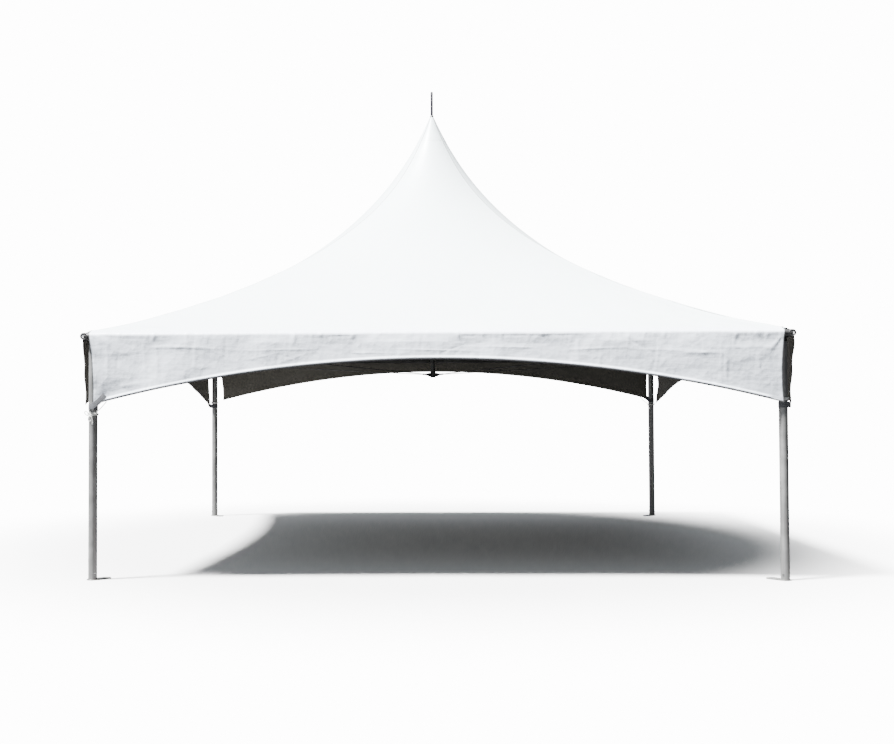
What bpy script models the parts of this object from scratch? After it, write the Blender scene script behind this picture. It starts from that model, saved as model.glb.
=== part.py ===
"""High-peak frame marquee, 6.1 m square.

Four round legs on flat base plates carry a square of rails at the eaves. Two pairs of cables
cross from corner to corner and hold up a short mast over the middle. The mast pushes the vinyl
roof into its peak, and a valance with an arched lower edge hangs on each side.

Metres, +Z up. The origin is on the ground at the middle of the tent, and the front faces -Y.
"""
import math

import bmesh
import bpy
from mathutils import Matrix, Vector

# Canopy
CANOPY_WIDTH = 6.10
SHEET = 0.003
GAP = 0.0003
EAVE_Z = 2.118
CONE_RISE = 0.7386
CONE_REACH = 0.472
SLOPE_RISE = 1.882
SLOPE_POWER = 1.195
PEAK_HOLE_R = 0.018
ROOF_STRIPS = 10
ROOF_ROWS = 13
ROW_SPREAD = 1.6
NOTCH_EDGE = 2.980
HIP_GAP = GAP * 0.7

# Valance
VALANCE_TOP_HALF = 2.965
VALANCE_LOW_HALF = 2.945
VALANCE_MID_Z = 1.881
VALANCE_CORNER_Z = 1.505
ARCH_POWER = 2.0
BACK_HEM_RISE = 0.062
VALANCE_CLEARANCE = 0.0009
CORNER_LEAN = 0.030
LEAN_START = 0.25
LEAN_POWER = 6
VALANCE_STRIPS = 24
VALANCE_ROWS = 4

# Tubes
ROUND_SIDES = 24
SPIGOT_SIDES = 16
SMALL_SIDES = 12
LEG_R = 0.038
RAIL_R = 0.030
TUBE_WALL = 0.003
FIT_PLAY = 0.0005
SPIGOT_LENGTH = 0.150
WELD_SINK = 0.006
RAIL_END = 2.870
RAIL_JOINT_SLOT = 0.002
SWAGE_TAPER = 0.020
CUT_PAST = 0.010

# Base plates
PLATE_T = 0.008
PLATE_R = 0.050
PLATE_INWARD = 0.122
STAKE_HOLE_R = 0.015
STAKE_HOLE_X = 0.118
FOOT_SPIGOT = 0.080
FOOT_BORE_FLOOR = 0.001

# Corner fittings and cable lugs
FITTING_DROP = 0.070
SLEEVE_ROOT = 0.050
BUTT_START = 0.012
BUTT_BORE_START = 0.008
SHOULDER_PLATE = 0.002
LUG_T = 0.008
LUG_NOSE_R = 0.020
LUG_HOLE_R = 0.0055
CORNER_EYE = 0.074
CORNER_EYE_DROP = 0.040
FOOT_EYE = 0.062

# Mast
MAST_FOOT_Z = 1.797
MAST_R = 0.024
MAST_TOP_Z = 4.535
FOOT_CUP_R = 0.030
FOOT_FLOOR = 0.012
FOOT_HEIGHT = 0.064
HEAD_R = 0.070
HEAD_RIM = 0.010
HEAD_SPIGOT = 0.100
HEAD_STEPS = 6
RING_HEIGHT = 0.016
RING_WALL = 0.004
DOME_STEPS = 4
SPIKE_R = 0.0125
SPIKE_FOOT_Z = 4.590
SPIKE_TIP_Z = 4.984

# Cables
WIRE_R = 0.004
PIN_R = 0.005
CHEEK_T = 0.005
PIN_HEAD = 0.003
FORK_END = 0.040
FORK_HEIGHT = 0.022
NOSE_CLEARANCE = 0.003
SOCKET_R = 0.009
SOCKET_LENGTH = 0.060
SOCKET_SINK = 0.005

# Straps and ties
STRAP_WIDTH = 0.050
STRAP_T = 0.0025
STRAP_WRAP_Z = 1.487
STRAP_CLEARANCE = 0.0024
HEM_END_X = -2.820
HEM_END_Y = -3.028
ROPE_R = 0.004
ROPE_TOP_Z = 1.434
TUCKED_ROPE_TOP_Z = 1.544
ROPE_LEAD_IN = (0.030, -0.052, 0.004)
ROPE_TURNS = 2
TURN_STEPS = 10
ROPE_PITCH = 0.0090

HALF = CANOPY_WIDTH / 2
RAIL_AXIS = HALF - SHEET - GAP - RAIL_R
LEG_AXIS = RAIL_AXIS - RAIL_R - LEG_R + WELD_SINK

CORNERS = ("front_left", "front_right", "back_right", "back_left")
SIDES = ("front", "right", "back", "left")

MATERIALS = {
    "roof_vinyl": ((0.90, 0.92, 0.93), 0.42, 0.0),
    "valance_vinyl": ((0.74, 0.77, 0.80), 0.45, 0.0),
    "tube_aluminium": ((0.52, 0.52, 0.50), 0.42, 0.9),
    "fitting_steel": ((0.30, 0.30, 0.30), 0.50, 0.9),
    "plate_steel": ((0.60, 0.60, 0.59), 0.50, 0.8),
    "wire_rope": ((0.22, 0.22, 0.22), 0.45, 0.8),
    "webbing": ((0.33, 0.34, 0.36), 0.85, 0.0),
    "rope": ((0.85, 0.85, 0.83), 0.80, 0.0),
}


def clear_scene():
    for obj in list(bpy.data.objects):
        bpy.data.objects.remove(obj, do_unlink=True)


def make_collection(name):
    collection = bpy.data.collections.new(name)
    bpy.context.scene.collection.children.link(collection)
    return collection


def make_material(name):
    colour, roughness, metallic = MATERIALS[name]
    material = bpy.data.materials.new(name)
    material.use_nodes = True
    shader = material.node_tree.nodes["Principled BSDF"]
    shader.inputs["Base Color"].default_value = (*colour, 1.0)
    shader.inputs["Roughness"].default_value = roughness
    shader.inputs["Metallic"].default_value = metallic
    return material


clear_scene()
TENT = make_collection("marquee")
GUIDES = make_collection("guides")
PAINT = {name: make_material(name) for name in MATERIALS}


def place(name, mesh, material, collection=None):
    """Puts a mesh in the tent as a named object with one material."""
    obj = bpy.data.objects.new(name, mesh)
    (collection or TENT).objects.link(obj)
    if material and not mesh.materials:
        mesh.materials.append(PAINT[material])
    return obj


def guide(obj):
    """Keeps a shape that only joins or cuts another out of the tent."""
    obj.hide_render = True
    obj.display_type = "WIRE"
    return obj


def round_shading(mesh):
    mesh.shade_smooth()
    mesh.set_sharp_from_angle(angle=math.radians(35))


def quarter_turn(turns, rise=0.0):
    return Matrix.Translation((0.0, 0.0, rise)) @ Matrix.Rotation(turns * math.pi / 2, 4, "Z")


def quarter_copy(first, name, turns, rise=0.0):
    """A copy of a piece that stands `turns` quarter turns further round the tent."""
    copy = bpy.data.objects.new(name, first.data)
    TENT.objects.link(copy)
    copy.matrix_world = quarter_turn(turns, rise) @ first.matrix_world


def quarter_copies(first, names):
    """The other three copies of a piece, each a quarter turn further round the tent."""
    for turns, name in enumerate(names[1:], start=1):
        quarter_copy(first, name, turns)


def boolean(obj, tool, operation):
    modifier = obj.modifiers.new(operation.lower(), "BOOLEAN")
    modifier.object = guide(tool)
    modifier.operation = operation


def settle(obj):
    """Turns an object with modifiers into a plain mesh with its place in the mesh."""
    bpy.context.view_layer.update()
    graph = bpy.context.evaluated_depsgraph_get()
    mesh = bpy.data.meshes.new_from_object(obj.evaluated_get(graph))
    mesh.transform(obj.matrix_world)
    name = obj.name
    for modifier in list(obj.modifiers):
        if modifier.type == "BOOLEAN":
            bpy.data.objects.remove(modifier.object, do_unlink=True)
    bpy.data.objects.remove(obj, do_unlink=True)
    return place(name, mesh, None)


def weld_mesh(mesh):
    bm = bmesh.new()
    bm.from_mesh(mesh)
    bmesh.ops.remove_doubles(bm, verts=list(bm.verts), dist=0.00001)
    bmesh.ops.recalc_face_normals(bm, faces=list(bm.faces))
    bm.to_mesh(mesh)
    bm.free()


def cylinder(name, radius, low, high, material=None, sides=ROUND_SIDES, collection=None):
    """A round bar between two points."""
    low, high = Vector(low), Vector(high)
    mesh = bpy.data.meshes.new(name)
    bm = bmesh.new()
    bmesh.ops.create_cone(bm, cap_ends=True, segments=sides, radius1=radius, radius2=radius,
                          depth=(high - low).length)
    bm.to_mesh(mesh)
    bm.free()
    round_shading(mesh)
    obj = place(name, mesh, material, collection)
    facing = (high - low).to_track_quat("Z", "Y").to_matrix().to_4x4()
    obj.matrix_world = Matrix.Translation((low + high) / 2) @ facing
    return obj


def turned(name, profile, material, closed=False, sides=ROUND_SIDES):
    """Turns a profile of (radius, height) points about Z; it runs down its outer side."""
    mesh = bpy.data.meshes.new(name)
    count = len(profile)
    edges = [(i, i + 1) for i in range(count - 1)]
    if closed:
        edges.append((count - 1, 0))
    mesh.from_pydata([(r, 0.0, z) for r, z in profile], edges, [])
    obj = place(name, mesh, material)
    screw = obj.modifiers.new("turn", "SCREW")
    screw.axis = "Z"
    screw.angle = math.tau
    screw.steps = sides
    screw.render_steps = sides
    screw.use_merge_vertices = True
    screw.merge_threshold = 0.00001
    obj = settle(obj)
    round_shading(obj.data)
    return obj


def tube_profile(radius, wall, low, high):
    return [(radius, high), (radius, low), (radius - wall, low), (radius - wall, high)]


def roof_height(reach):
    """Height of the roof's outer face where its section stands `reach` out from the mast.

    A steep part that fades away from the mast, and a long slope that eases at the eaves.
    """
    share = max(0.0, 1.0 - reach / HALF)
    return EAVE_Z + CONE_RISE * math.exp(-reach / CONE_REACH) + SLOPE_RISE * share ** SLOPE_POWER


def roof_steepness(reach):
    step = 0.0005
    low, high = max(0.0, reach - step), min(HALF, reach + step)
    return (roof_height(low) - roof_height(high)) / (high - low)


def roof_underside(reach):
    return roof_height(reach) - SHEET * math.hypot(1.0, roof_steepness(reach))


def eave_underside(reach):
    """The last strip of the roof runs straight from the corner notch's edge to the eave."""
    inner_z, outer_z = roof_underside(NOTCH_EDGE), roof_underside(HALF)
    return outer_z + (inner_z - outer_z) * (HALF - reach) / (HALF - NOTCH_EDGE)


def rail_height():
    """The rail touches the roof's underside from below, all but the gap."""
    reach = RAIL_R + GAP
    heights = []
    for degrees in range(5, 176, 5):
        angle = math.radians(degrees)
        heights.append(eave_underside(RAIL_AXIS + reach * math.cos(angle)) - reach * math.sin(angle))
    return min(heights)


RAIL_Z = rail_height()
SHOULDER_Z = RAIL_Z - FITTING_DROP
DIAGONAL = Vector((1.0, 1.0, 0.0)).normalized()
ACROSS = Vector((-1.0, 1.0, 0.0)).normalized()
LEG_FOOT = Vector((-LEG_AXIS, -LEG_AXIS, 0.0))


def make_sheet(name, strips, rows, shape_point):
    """A grid shaped by `shape_point(across, down, inner)`, with a second face behind it."""
    mesh = bpy.data.meshes.new(name)
    bm = bmesh.new()
    bmesh.ops.create_grid(bm, x_segments=strips, y_segments=rows, size=1.0)
    extruded = bmesh.ops.extrude_face_region(bm, geom=list(bm.faces), use_keep_orig=True)
    inner = {item for item in extruded["geom"] if isinstance(item, bmesh.types.BMVert)}
    for vert in bm.verts:
        vert.co = shape_point(vert.co.x, (1.0 - vert.co.y) / 2, vert in inner)
    bmesh.ops.recalc_face_normals(bm, faces=list(bm.faces))
    if bm.calc_volume(signed=True) < 0.0:
        bmesh.ops.reverse_faces(bm, faces=list(bm.faces))
    bm.to_mesh(mesh)
    bm.free()
    round_shading(mesh)
    return mesh


def roof_point(across, down, inner):
    """A point of the front gore: its section is round at the mast and square at the eaves.

    The last row is the eave, cut short at both ends where the rail fitting shows.
    """
    angle = across * math.pi / 4
    share = down * ROOF_ROWS / (ROOF_ROWS - 1)
    at_eave = round(down * ROOF_ROWS) == ROOF_ROWS
    reach = PEAK_HOLE_R + (NOTCH_EDGE - PEAK_HOLE_R) * min(1.0, share) ** ROW_SPREAD
    squareness = reach / NOTCH_EDGE
    if at_eave:
        reach = HALF - GAP
    radius = reach / ((1.0 - squareness) + squareness * math.cos(angle))
    sideways = radius * math.sin(angle)
    if at_eave:
        sideways *= NOTCH_EDGE / reach
    height = roof_underside(reach) if inner else roof_height(reach)
    return (sideways, -radius * math.cos(angle) - HIP_GAP, height)


def make_roof():
    mesh = make_sheet("roof_gore", ROOF_STRIPS, ROOF_ROWS, roof_point)
    gore = place("roof_front", mesh, "roof_vinyl")
    quarter_copies(gore, [f"roof_{side}" for side in SIDES])


def valance_low_edge(share):
    """Height of the arched lower edge, `share` from the middle (0) to the corner (1)."""
    drop = VALANCE_MID_Z - VALANCE_CORNER_Z
    return VALANCE_MID_Z - drop * abs(share) ** ARCH_POWER


def valance_point(across, down, inner, hem_rise=0.0):
    """A point of the front skirt, which leans in a little at its two low corners."""
    top_z = eave_underside(HALF - SHEET) - VALANCE_CLEARANCE
    half = VALANCE_TOP_HALF + (VALANCE_LOW_HALF - VALANCE_TOP_HALF) * down
    below_rail = max(0.0, down - LEAN_START) / (1.0 - LEAN_START)
    lean = CORNER_LEAN * below_rail * abs(across) ** LEAN_POWER
    outward = HALF - lean - (SHEET if inner else 0.0)
    low_z = valance_low_edge(across) + hem_rise
    return (across * half, -outward, top_z + (low_z - top_z) * down)


def back_valance_point(across, down, inner):
    """The rope in the back valance's hem is drawn tighter, which lifts the whole hem."""
    return valance_point(across, down, inner, BACK_HEM_RISE)


def make_valances():
    mesh = make_sheet("valance", VALANCE_STRIPS, VALANCE_ROWS, valance_point)
    front = place("valance_front", mesh, "valance_vinyl")
    quarter_copy(front, "valance_right", 1)
    quarter_copy(front, "valance_left", 3)
    back_mesh = make_sheet("back_valance", VALANCE_STRIPS, VALANCE_ROWS, back_valance_point)
    back = place("valance_back", back_mesh, "valance_vinyl")
    back.matrix_world = quarter_turn(2)


def make_legs():
    low, high = PLATE_T + GAP, SHOULDER_Z - GAP
    leg = turned("leg_front_left", tube_profile(LEG_R, TUBE_WALL, low, high), "tube_aluminium",
                 closed=True)
    leg.location = LEG_FOOT
    bpy.context.view_layer.update()
    quarter_copies(leg, [f"leg_{corner}" for corner in CORNERS])


def arc(centre, radius, start_degrees, end_degrees, steps=8):
    points = []
    for i in range(steps + 1):
        angle = math.radians(start_degrees + (end_degrees - start_degrees) * i / steps)
        points.append((centre[0] + radius * math.cos(angle), centre[1] + radius * math.sin(angle)))
    return points


def flat_piece(name, loops, thickness):
    """A flat outline with its holes, given its thickness about z = 0."""
    curve = bpy.data.curves.new(name, "CURVE")
    curve.dimensions = "2D"
    curve.fill_mode = "BOTH"
    curve.extrude = thickness / 2
    for loop in loops:
        spline = curve.splines.new("POLY")
        spline.points.add(len(loop) - 1)
        for point, (x, y) in zip(spline.points, loop):
            point.co = (x, y, 0.0, 1.0)
        spline.use_cyclic_u = True
    outline = bpy.data.objects.new(name, curve)
    GUIDES.objects.link(outline)
    piece = settle(outline)
    weld_mesh(piece.data)
    return piece


def make_base_plates():
    """A flat plate with round ends, pointing at the middle, and a short spigot in the leg."""
    outline = arc((0.0, 0.0), PLATE_R, 90, 270) + arc((PLATE_INWARD, 0.0), PLATE_R, -90, 90)
    hole = arc((STAKE_HOLE_X, 0.0), STAKE_HOLE_R, 0, 360 - 360 / SMALL_SIDES, SMALL_SIDES - 1)
    plate = flat_piece("base_plate_front_left", (outline, hole), PLATE_T)
    plate.data.materials.append(PAINT["plate_steel"])
    plate.location.z = PLATE_T / 2
    spigot_r = LEG_R - TUBE_WALL - FIT_PLAY
    post = cylinder("foot_post", spigot_r, (0, 0, PLATE_T / 2), (0, 0, PLATE_T + FOOT_SPIGOT),
                    sides=SPIGOT_SIDES, collection=GUIDES)
    bore = cylinder("foot_bore", spigot_r - TUBE_WALL, (0, 0, PLATE_T + FOOT_BORE_FLOOR),
                    (0, 0, PLATE_T + FOOT_SPIGOT + CUT_PAST), sides=SPIGOT_SIDES, collection=GUIDES)
    boolean(plate, post, "UNION")
    boolean(plate, bore, "DIFFERENCE")
    plate = settle(plate)
    weld_mesh(plate.data)
    round_shading(plate.data)
    plate.matrix_world = Matrix.Translation(LEG_FOOT) @ Matrix.Rotation(math.pi / 4, 4, "Z")
    quarter_copies(plate, [f"base_plate_{corner}" for corner in CORNERS])


def upright(origin, along, across):
    """A frame whose x runs along, whose y is up, and whose z is the thickness across."""
    up = across.cross(along)
    return Matrix.Translation(origin) @ Matrix((along, up, across)).transposed().to_4x4()


def lug(root, direction, eye_distance):
    """A flat lug in an upright plane, with a round nose about its hole."""
    across = Vector((-direction.y, direction.x, 0.0))
    nose = arc((eye_distance, 0.0), LUG_NOSE_R, -90, 90)
    outline = [(0.0, LUG_NOSE_R), (0.0, -LUG_NOSE_R), *nose]
    hole = arc((eye_distance, 0.0), LUG_HOLE_R, 0, 360 - 360 / SMALL_SIDES, SMALL_SIDES - 1)
    piece = flat_piece("lug", (outline, hole), LUG_T)
    piece.matrix_world = upright(root, direction, across)
    return piece


def make_corner_fitting(name, open_axis, butt_axis):
    """Two rail sleeves that meet at the outer corner, a leg socket inside them and a cable lug.

    The sleeve along `open_axis` runs through with an open end, and the other one butts on it.
    """
    sleeve_r = RAIL_R - TUBE_WALL - FIT_PLAY
    corner = Vector((-RAIL_AXIS, -RAIL_AXIS, RAIL_Z))
    body = cylinder(name, LEG_R, (*LEG_FOOT.xy, SHOULDER_Z), (*LEG_FOOT.xy, RAIL_Z + RAIL_R),
                    "fitting_steel")
    leg_sleeve_r = LEG_R - TUBE_WALL - FIT_PLAY
    boolean(body, cylinder("leg_sleeve", leg_sleeve_r, (*LEG_FOOT.xy, SHOULDER_Z - SPIGOT_LENGTH),
                           (*LEG_FOOT.xy, SHOULDER_Z + CUT_PAST), sides=SPIGOT_SIDES,
                           collection=GUIDES), "UNION")
    bores = []
    starts = ((open_axis, -RAIL_R, -RAIL_R - CUT_PAST), (butt_axis, BUTT_START, BUTT_BORE_START))
    for axis, arm_start, bore_start in starts:
        inward_end = corner + axis * (RAIL_AXIS - RAIL_END)
        sleeve_end = inward_end + axis * SPIGOT_LENGTH
        boolean(body, cylinder("arm", RAIL_R, corner + axis * arm_start, inward_end,
                               collection=GUIDES), "UNION")
        boolean(body, cylinder("arm_sleeve", sleeve_r, corner + axis * SLEEVE_ROOT, sleeve_end,
                               sides=SPIGOT_SIDES, collection=GUIDES), "UNION")
        bores.append(cylinder("arm_bore", sleeve_r - TUBE_WALL, corner + axis * bore_start,
                              sleeve_end + axis * CUT_PAST, sides=SPIGOT_SIDES, collection=GUIDES))
    root_r = LEG_R - TUBE_WALL
    lug_root = LEG_FOOT + DIAGONAL * root_r
    lug_root.z = RAIL_Z - CORNER_EYE_DROP
    boolean(body, lug(lug_root, DIAGONAL, CORNER_EYE - root_r), "UNION")
    for bore in bores:
        boolean(body, bore, "DIFFERENCE")
    leg_bore = cylinder("leg_bore", leg_sleeve_r - TUBE_WALL,
                        (*LEG_FOOT.xy, SHOULDER_Z - SPIGOT_LENGTH - CUT_PAST),
                        (*LEG_FOOT.xy, SHOULDER_Z - SHOULDER_PLATE), sides=SPIGOT_SIDES,
                        collection=GUIDES)
    boolean(body, leg_bore, "DIFFERENCE")
    body = settle(body)
    weld_mesh(body.data)
    round_shading(body.data)
    return body


def make_corner_fittings():
    """The sleeves of the two side rails run through, so their open ends face front and back."""
    along_x, along_y = Vector((1, 0, 0)), Vector((0, 1, 0))
    left = make_corner_fitting("corner_fitting_front_left", along_y, along_x)
    quarter_copy(left, "corner_fitting_back_right", 2)
    right = make_corner_fitting("corner_fitting_front_right", along_x, along_y)
    right.matrix_world = quarter_turn(1)
    quarter_copy(right, "corner_fitting_back_left", 2)


def make_rails():
    """Each side is two tubes; the left one ends in a swaged spigot that enters the right one."""
    length = RAIL_END - GAP
    slot = RAIL_JOINT_SLOT / 2
    inner_r = RAIL_R - TUBE_WALL
    swage_r = inner_r - FIT_PLAY
    plain = turned("front_rail_right", tube_profile(RAIL_R, TUBE_WALL, slot, length),
                   "tube_aluminium", closed=True)
    profile = [(RAIL_R, -slot), (RAIL_R, -length), (inner_r, -length), (inner_r, -SWAGE_TAPER),
               (swage_r - TUBE_WALL, 0.0), (swage_r - TUBE_WALL, SPIGOT_LENGTH),
               (swage_r, SPIGOT_LENGTH), (swage_r, -slot)]
    swaged = turned("front_rail_left", profile, "tube_aluminium", closed=True)
    lay_down = Matrix.Rotation(math.pi / 2, 4, "Y")
    at_front = Matrix.Translation((0.0, -RAIL_AXIS, RAIL_Z))
    for rail, half_names in ((plain, ("front_rail_right", "right_rail_back", "back_rail_left",
                                      "left_rail_front")),
                             (swaged, ("front_rail_left", "right_rail_front", "back_rail_right",
                                       "left_rail_back"))):
        rail.matrix_world = at_front @ lay_down
        quarter_copies(rail, half_names)


def make_mast():
    tube_low = MAST_FOOT_Z + FOOT_FLOOR + GAP
    turned("mast_tube", tube_profile(MAST_R, TUBE_WALL, tube_low, MAST_TOP_Z), "tube_aluminium",
           closed=True)
    make_mast_foot()
    make_mast_head()


def make_mast_foot():
    """A cup under the mast with four lugs that point at the corners."""
    bore_r = MAST_R + FIT_PLAY
    floor_z = MAST_FOOT_Z + FOOT_FLOOR
    top_z = MAST_FOOT_Z + FOOT_HEIGHT
    profile = [(0.0, floor_z), (bore_r, floor_z), (bore_r, top_z), (FOOT_CUP_R, top_z),
               (FOOT_CUP_R, MAST_FOOT_Z), (0.0, MAST_FOOT_Z)]
    foot = turned("mast_foot", profile, "fitting_steel")
    root_r = (bore_r + FOOT_CUP_R) / 2
    for quarter in range(4):
        direction = Matrix.Rotation(quarter * math.pi / 2, 3, "Z") @ DIAGONAL
        root = direction * root_r
        root.z = MAST_FOOT_Z + FOOT_HEIGHT / 2
        boolean(foot, lug(root, direction, FOOT_EYE - root_r), "UNION")
    foot = settle(foot)
    round_shading(foot.data)


def make_mast_head():
    """A cone that fills the roof's peak from below, with a spigot in the mast and a spike."""
    bore_r = SPIKE_R + FIT_PLAY
    cone = []
    for i in range(HEAD_STEPS + 1):
        reach = PEAK_HOLE_R + (HEAD_R - PEAK_HOLE_R) * i / HEAD_STEPS
        cone.append((reach - GAP, roof_underside(reach) - GAP))
    rim_z = cone[-1][1] - HEAD_RIM
    spigot_r = MAST_R - TUBE_WALL - FIT_PLAY
    profile = [(0.0, SPIKE_FOOT_Z), (bore_r, SPIKE_FOOT_Z), (bore_r, cone[0][1]), *cone,
               (cone[-1][0], rim_z), (MAST_R, MAST_TOP_Z + GAP), (spigot_r, MAST_TOP_Z + GAP),
               (spigot_r, MAST_TOP_Z - HEAD_SPIGOT), (0.0, MAST_TOP_Z - HEAD_SPIGOT)]
    turned("mast_head", profile, "fitting_steel")
    spike_low = SPIKE_FOOT_Z + GAP
    dome = []
    for i in range(DOME_STEPS + 1):
        angle = math.pi / 2 * i / DOME_STEPS
        dome.append((SPIKE_R * math.sin(angle), SPIKE_TIP_Z - SPIKE_R * (1.0 - math.cos(angle))))
    turned("mast_spike", [*dome, (SPIKE_R, spike_low), (0.0, spike_low)], "tube_aluminium",
           sides=SPIGOT_SIDES)
    ring_low = roof_height(PEAK_HOLE_R) + GAP
    ring_top = ring_low + RING_HEIGHT
    turned("peak_ring", [(SPIKE_R + RING_WALL, ring_top), (PEAK_HOLE_R + RING_WALL, ring_low),
                         (bore_r, ring_low), (bore_r, ring_top)], "fitting_steel", closed=True,
           sides=SPIGOT_SIDES)


def fork_shapes(eye, along, across):
    """A cable's end: a fork that straddles the lug, its pin and the socket behind it."""
    half_slot = LUG_T / 2 + FIT_PLAY
    half_fork = half_slot + CHEEK_T
    tip, slot_end = -FORK_HEIGHT / 2, LUG_NOSE_R + NOSE_CLEARANCE
    outline = [(tip, -half_fork), (FORK_END, -half_fork), (FORK_END, half_fork), (tip, half_fork),
               (tip, half_slot), (slot_end, half_slot), (slot_end, -half_slot), (tip, -half_slot)]
    fork = flat_piece("fork", (outline,), FORK_HEIGHT)
    up = along.cross(across)
    fork.matrix_world = Matrix.Translation(eye) @ Matrix((along, across, up)).transposed().to_4x4()
    pin_half = across * (half_fork + PIN_HEAD)
    pin = cylinder("pin", PIN_R, eye - pin_half, eye + pin_half, sides=10, collection=GUIDES)
    socket = cylinder("socket", SOCKET_R, eye + along * (FORK_END - SOCKET_SINK),
                      eye + along * (FORK_END + SOCKET_LENGTH), sides=SMALL_SIDES,
                      collection=GUIDES)
    return fork, pin, socket


def make_cables():
    """A taut wire from each corner's lug to the mast foot's lug, with a fork on both ends."""
    corner_eye = LEG_FOOT + DIAGONAL * CORNER_EYE
    corner_eye.z = RAIL_Z - CORNER_EYE_DROP
    foot_eye = -DIAGONAL * FOOT_EYE
    foot_eye.z = MAST_FOOT_Z + FOOT_HEIGHT / 2
    along = (foot_eye - corner_eye).normalized()
    hold = FORK_END + SOCKET_LENGTH / 2
    wire = cylinder("cable_front_left", WIRE_R, corner_eye + along * hold,
                    foot_eye - along * hold, "wire_rope", sides=8)
    for shape in fork_shapes(corner_eye, along, ACROSS):
        boolean(wire, shape, "UNION")
    for shape in fork_shapes(foot_eye, -along, -ACROSS):
        boolean(wire, shape, "UNION")
    wire = settle(wire)
    weld_mesh(wire.data)
    round_shading(wire.data)
    quarter_copies(wire, [f"cable_{corner}" for corner in CORNERS])


def smooth_path(points, steps):
    """Points along a curve that passes through each given point without a kink."""
    points = [Vector(point) for point in points]
    ends = [points[0] * 2 - points[1], *points, points[-1] * 2 - points[-2]]
    path = []
    for i in range(1, len(ends) - 2):
        a, b, c, d = ends[i - 1:i + 3]
        for step in range(steps):
            t = step / steps
            path.append(0.5 * (2 * b + (c - a) * t + (2 * a - 5 * b + 4 * c - d) * t ** 2
                               + (3 * b - a - 3 * c + d) * t ** 3))
    path.append(points[-1])
    return path


def around_leg(radius, start_degrees, end_degrees, start_z, end_z, count):
    points = []
    for i in range(count + 1):
        share = i / count
        angle = math.radians(start_degrees + (end_degrees - start_degrees) * share)
        points.append(LEG_FOOT + Vector((radius * math.cos(angle), radius * math.sin(angle),
                                         start_z + (end_z - start_z) * share)))
    return points


def hem_rise_at(turns):
    """A corner's strap and rope hold the valance on its own side, and only the back one is lifted."""
    return BACK_HEM_RISE if SIDES[turns] == "back" else 0.0


def make_straps():
    """Webbing from the valance's low corner, in past its end and once round the leg."""
    face = HALF - CORNER_LEAN + STRAP_CLEARANCE + STRAP_T / 2
    wrap_r = LEG_R + GAP * 3 + STRAP_T / 2
    lead = smooth_path([(-2.830, -face - 0.017, 1.590), (-2.880, -face - 0.010, 1.540),
                        (-2.935, -face - 0.002, 1.500), (-2.975, -face + 0.012, STRAP_WRAP_Z)], 4)
    wrap = around_leg(wrap_r, -150, -430, STRAP_WRAP_Z, STRAP_WRAP_Z, 18)
    path = lead + wrap
    mesh = bpy.data.meshes.new("corner_strap")
    bm = bmesh.new()
    bmesh.ops.create_grid(bm, x_segments=1, y_segments=len(path) - 1, size=1.0)
    bm.verts.ensure_lookup_table()
    last = len(path) - 1
    for vert in bm.verts:
        edge = vert.co.x
        step = round((vert.co.y + 1.0) / 2 * last)
        ahead = (path[min(step + 1, last)] - path[max(step - 1, 0)]).normalized()
        flat = Vector((ahead.x, ahead.y, 0.0)).normalized()
        outward = Vector((-flat.y, flat.x, 0.0))
        broad = ahead.cross(outward).normalized()
        vert.co = path[step] + broad * (edge * STRAP_WIDTH / 2)
    bmesh.ops.recalc_face_normals(bm, faces=list(bm.faces))
    bm.to_mesh(mesh)
    bm.free()
    strap = place("corner_strap_front_left", mesh, "webbing")
    solid = strap.modifiers.new("thickness", "SOLIDIFY")
    solid.thickness = STRAP_T
    solid.offset = 0.0
    strap = settle(strap)
    for turns, corner in enumerate(CORNERS[1:], start=1):
        quarter_copy(strap, f"corner_strap_{corner}", turns, hem_rise_at(turns))


def tie_route(coil_top_z, droop, tail):
    """The hem rope's end: out under the hem, twice round the leg, and a short tail."""
    coil_r = (LEG_R + GAP + ROPE_R) / math.cos(math.pi / TURN_STEPS)
    hem_z = valance_low_edge(HEM_END_X / VALANCE_LOW_HALF) - ROPE_R - GAP
    lead = [Vector((HEM_END_X, HEM_END_Y, hem_z)), *(Vector((x, y, hem_z + z)) for x, y, z in droop),
            LEG_FOOT + Vector((0.0, 0.0, coil_top_z)) + Vector(ROPE_LEAD_IN)]
    coil = around_leg(coil_r, -90, -90 - 360 * ROPE_TURNS, coil_top_z,
                      coil_top_z - ROPE_PITCH * ROPE_TURNS, TURN_STEPS * ROPE_TURNS)
    end = [coil[-1], *(coil[-1] + Vector(offset) for offset in tail)]
    return smooth_path(lead, 3)[:-1] + coil[:-1] + smooth_path(end, 3)


def make_tie_rope(name, route):
    curve = bpy.data.curves.new("tie_rope", "CURVE")
    curve.dimensions = "3D"
    curve.bevel_depth = ROPE_R
    curve.bevel_resolution = 1
    curve.use_fill_caps = True
    spline = curve.splines.new("POLY")
    spline.points.add(len(route) - 1)
    for point, place_at in zip(spline.points, route):
        point.co = (*place_at, 1.0)
    rope_curve = bpy.data.objects.new(name, curve)
    TENT.objects.link(rope_curve)
    rope = settle(rope_curve)
    rope.data.materials.clear()
    rope.data.materials.append(PAINT["rope"])
    weld_mesh(rope.data)
    round_shading(rope.data)
    return rope


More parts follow.
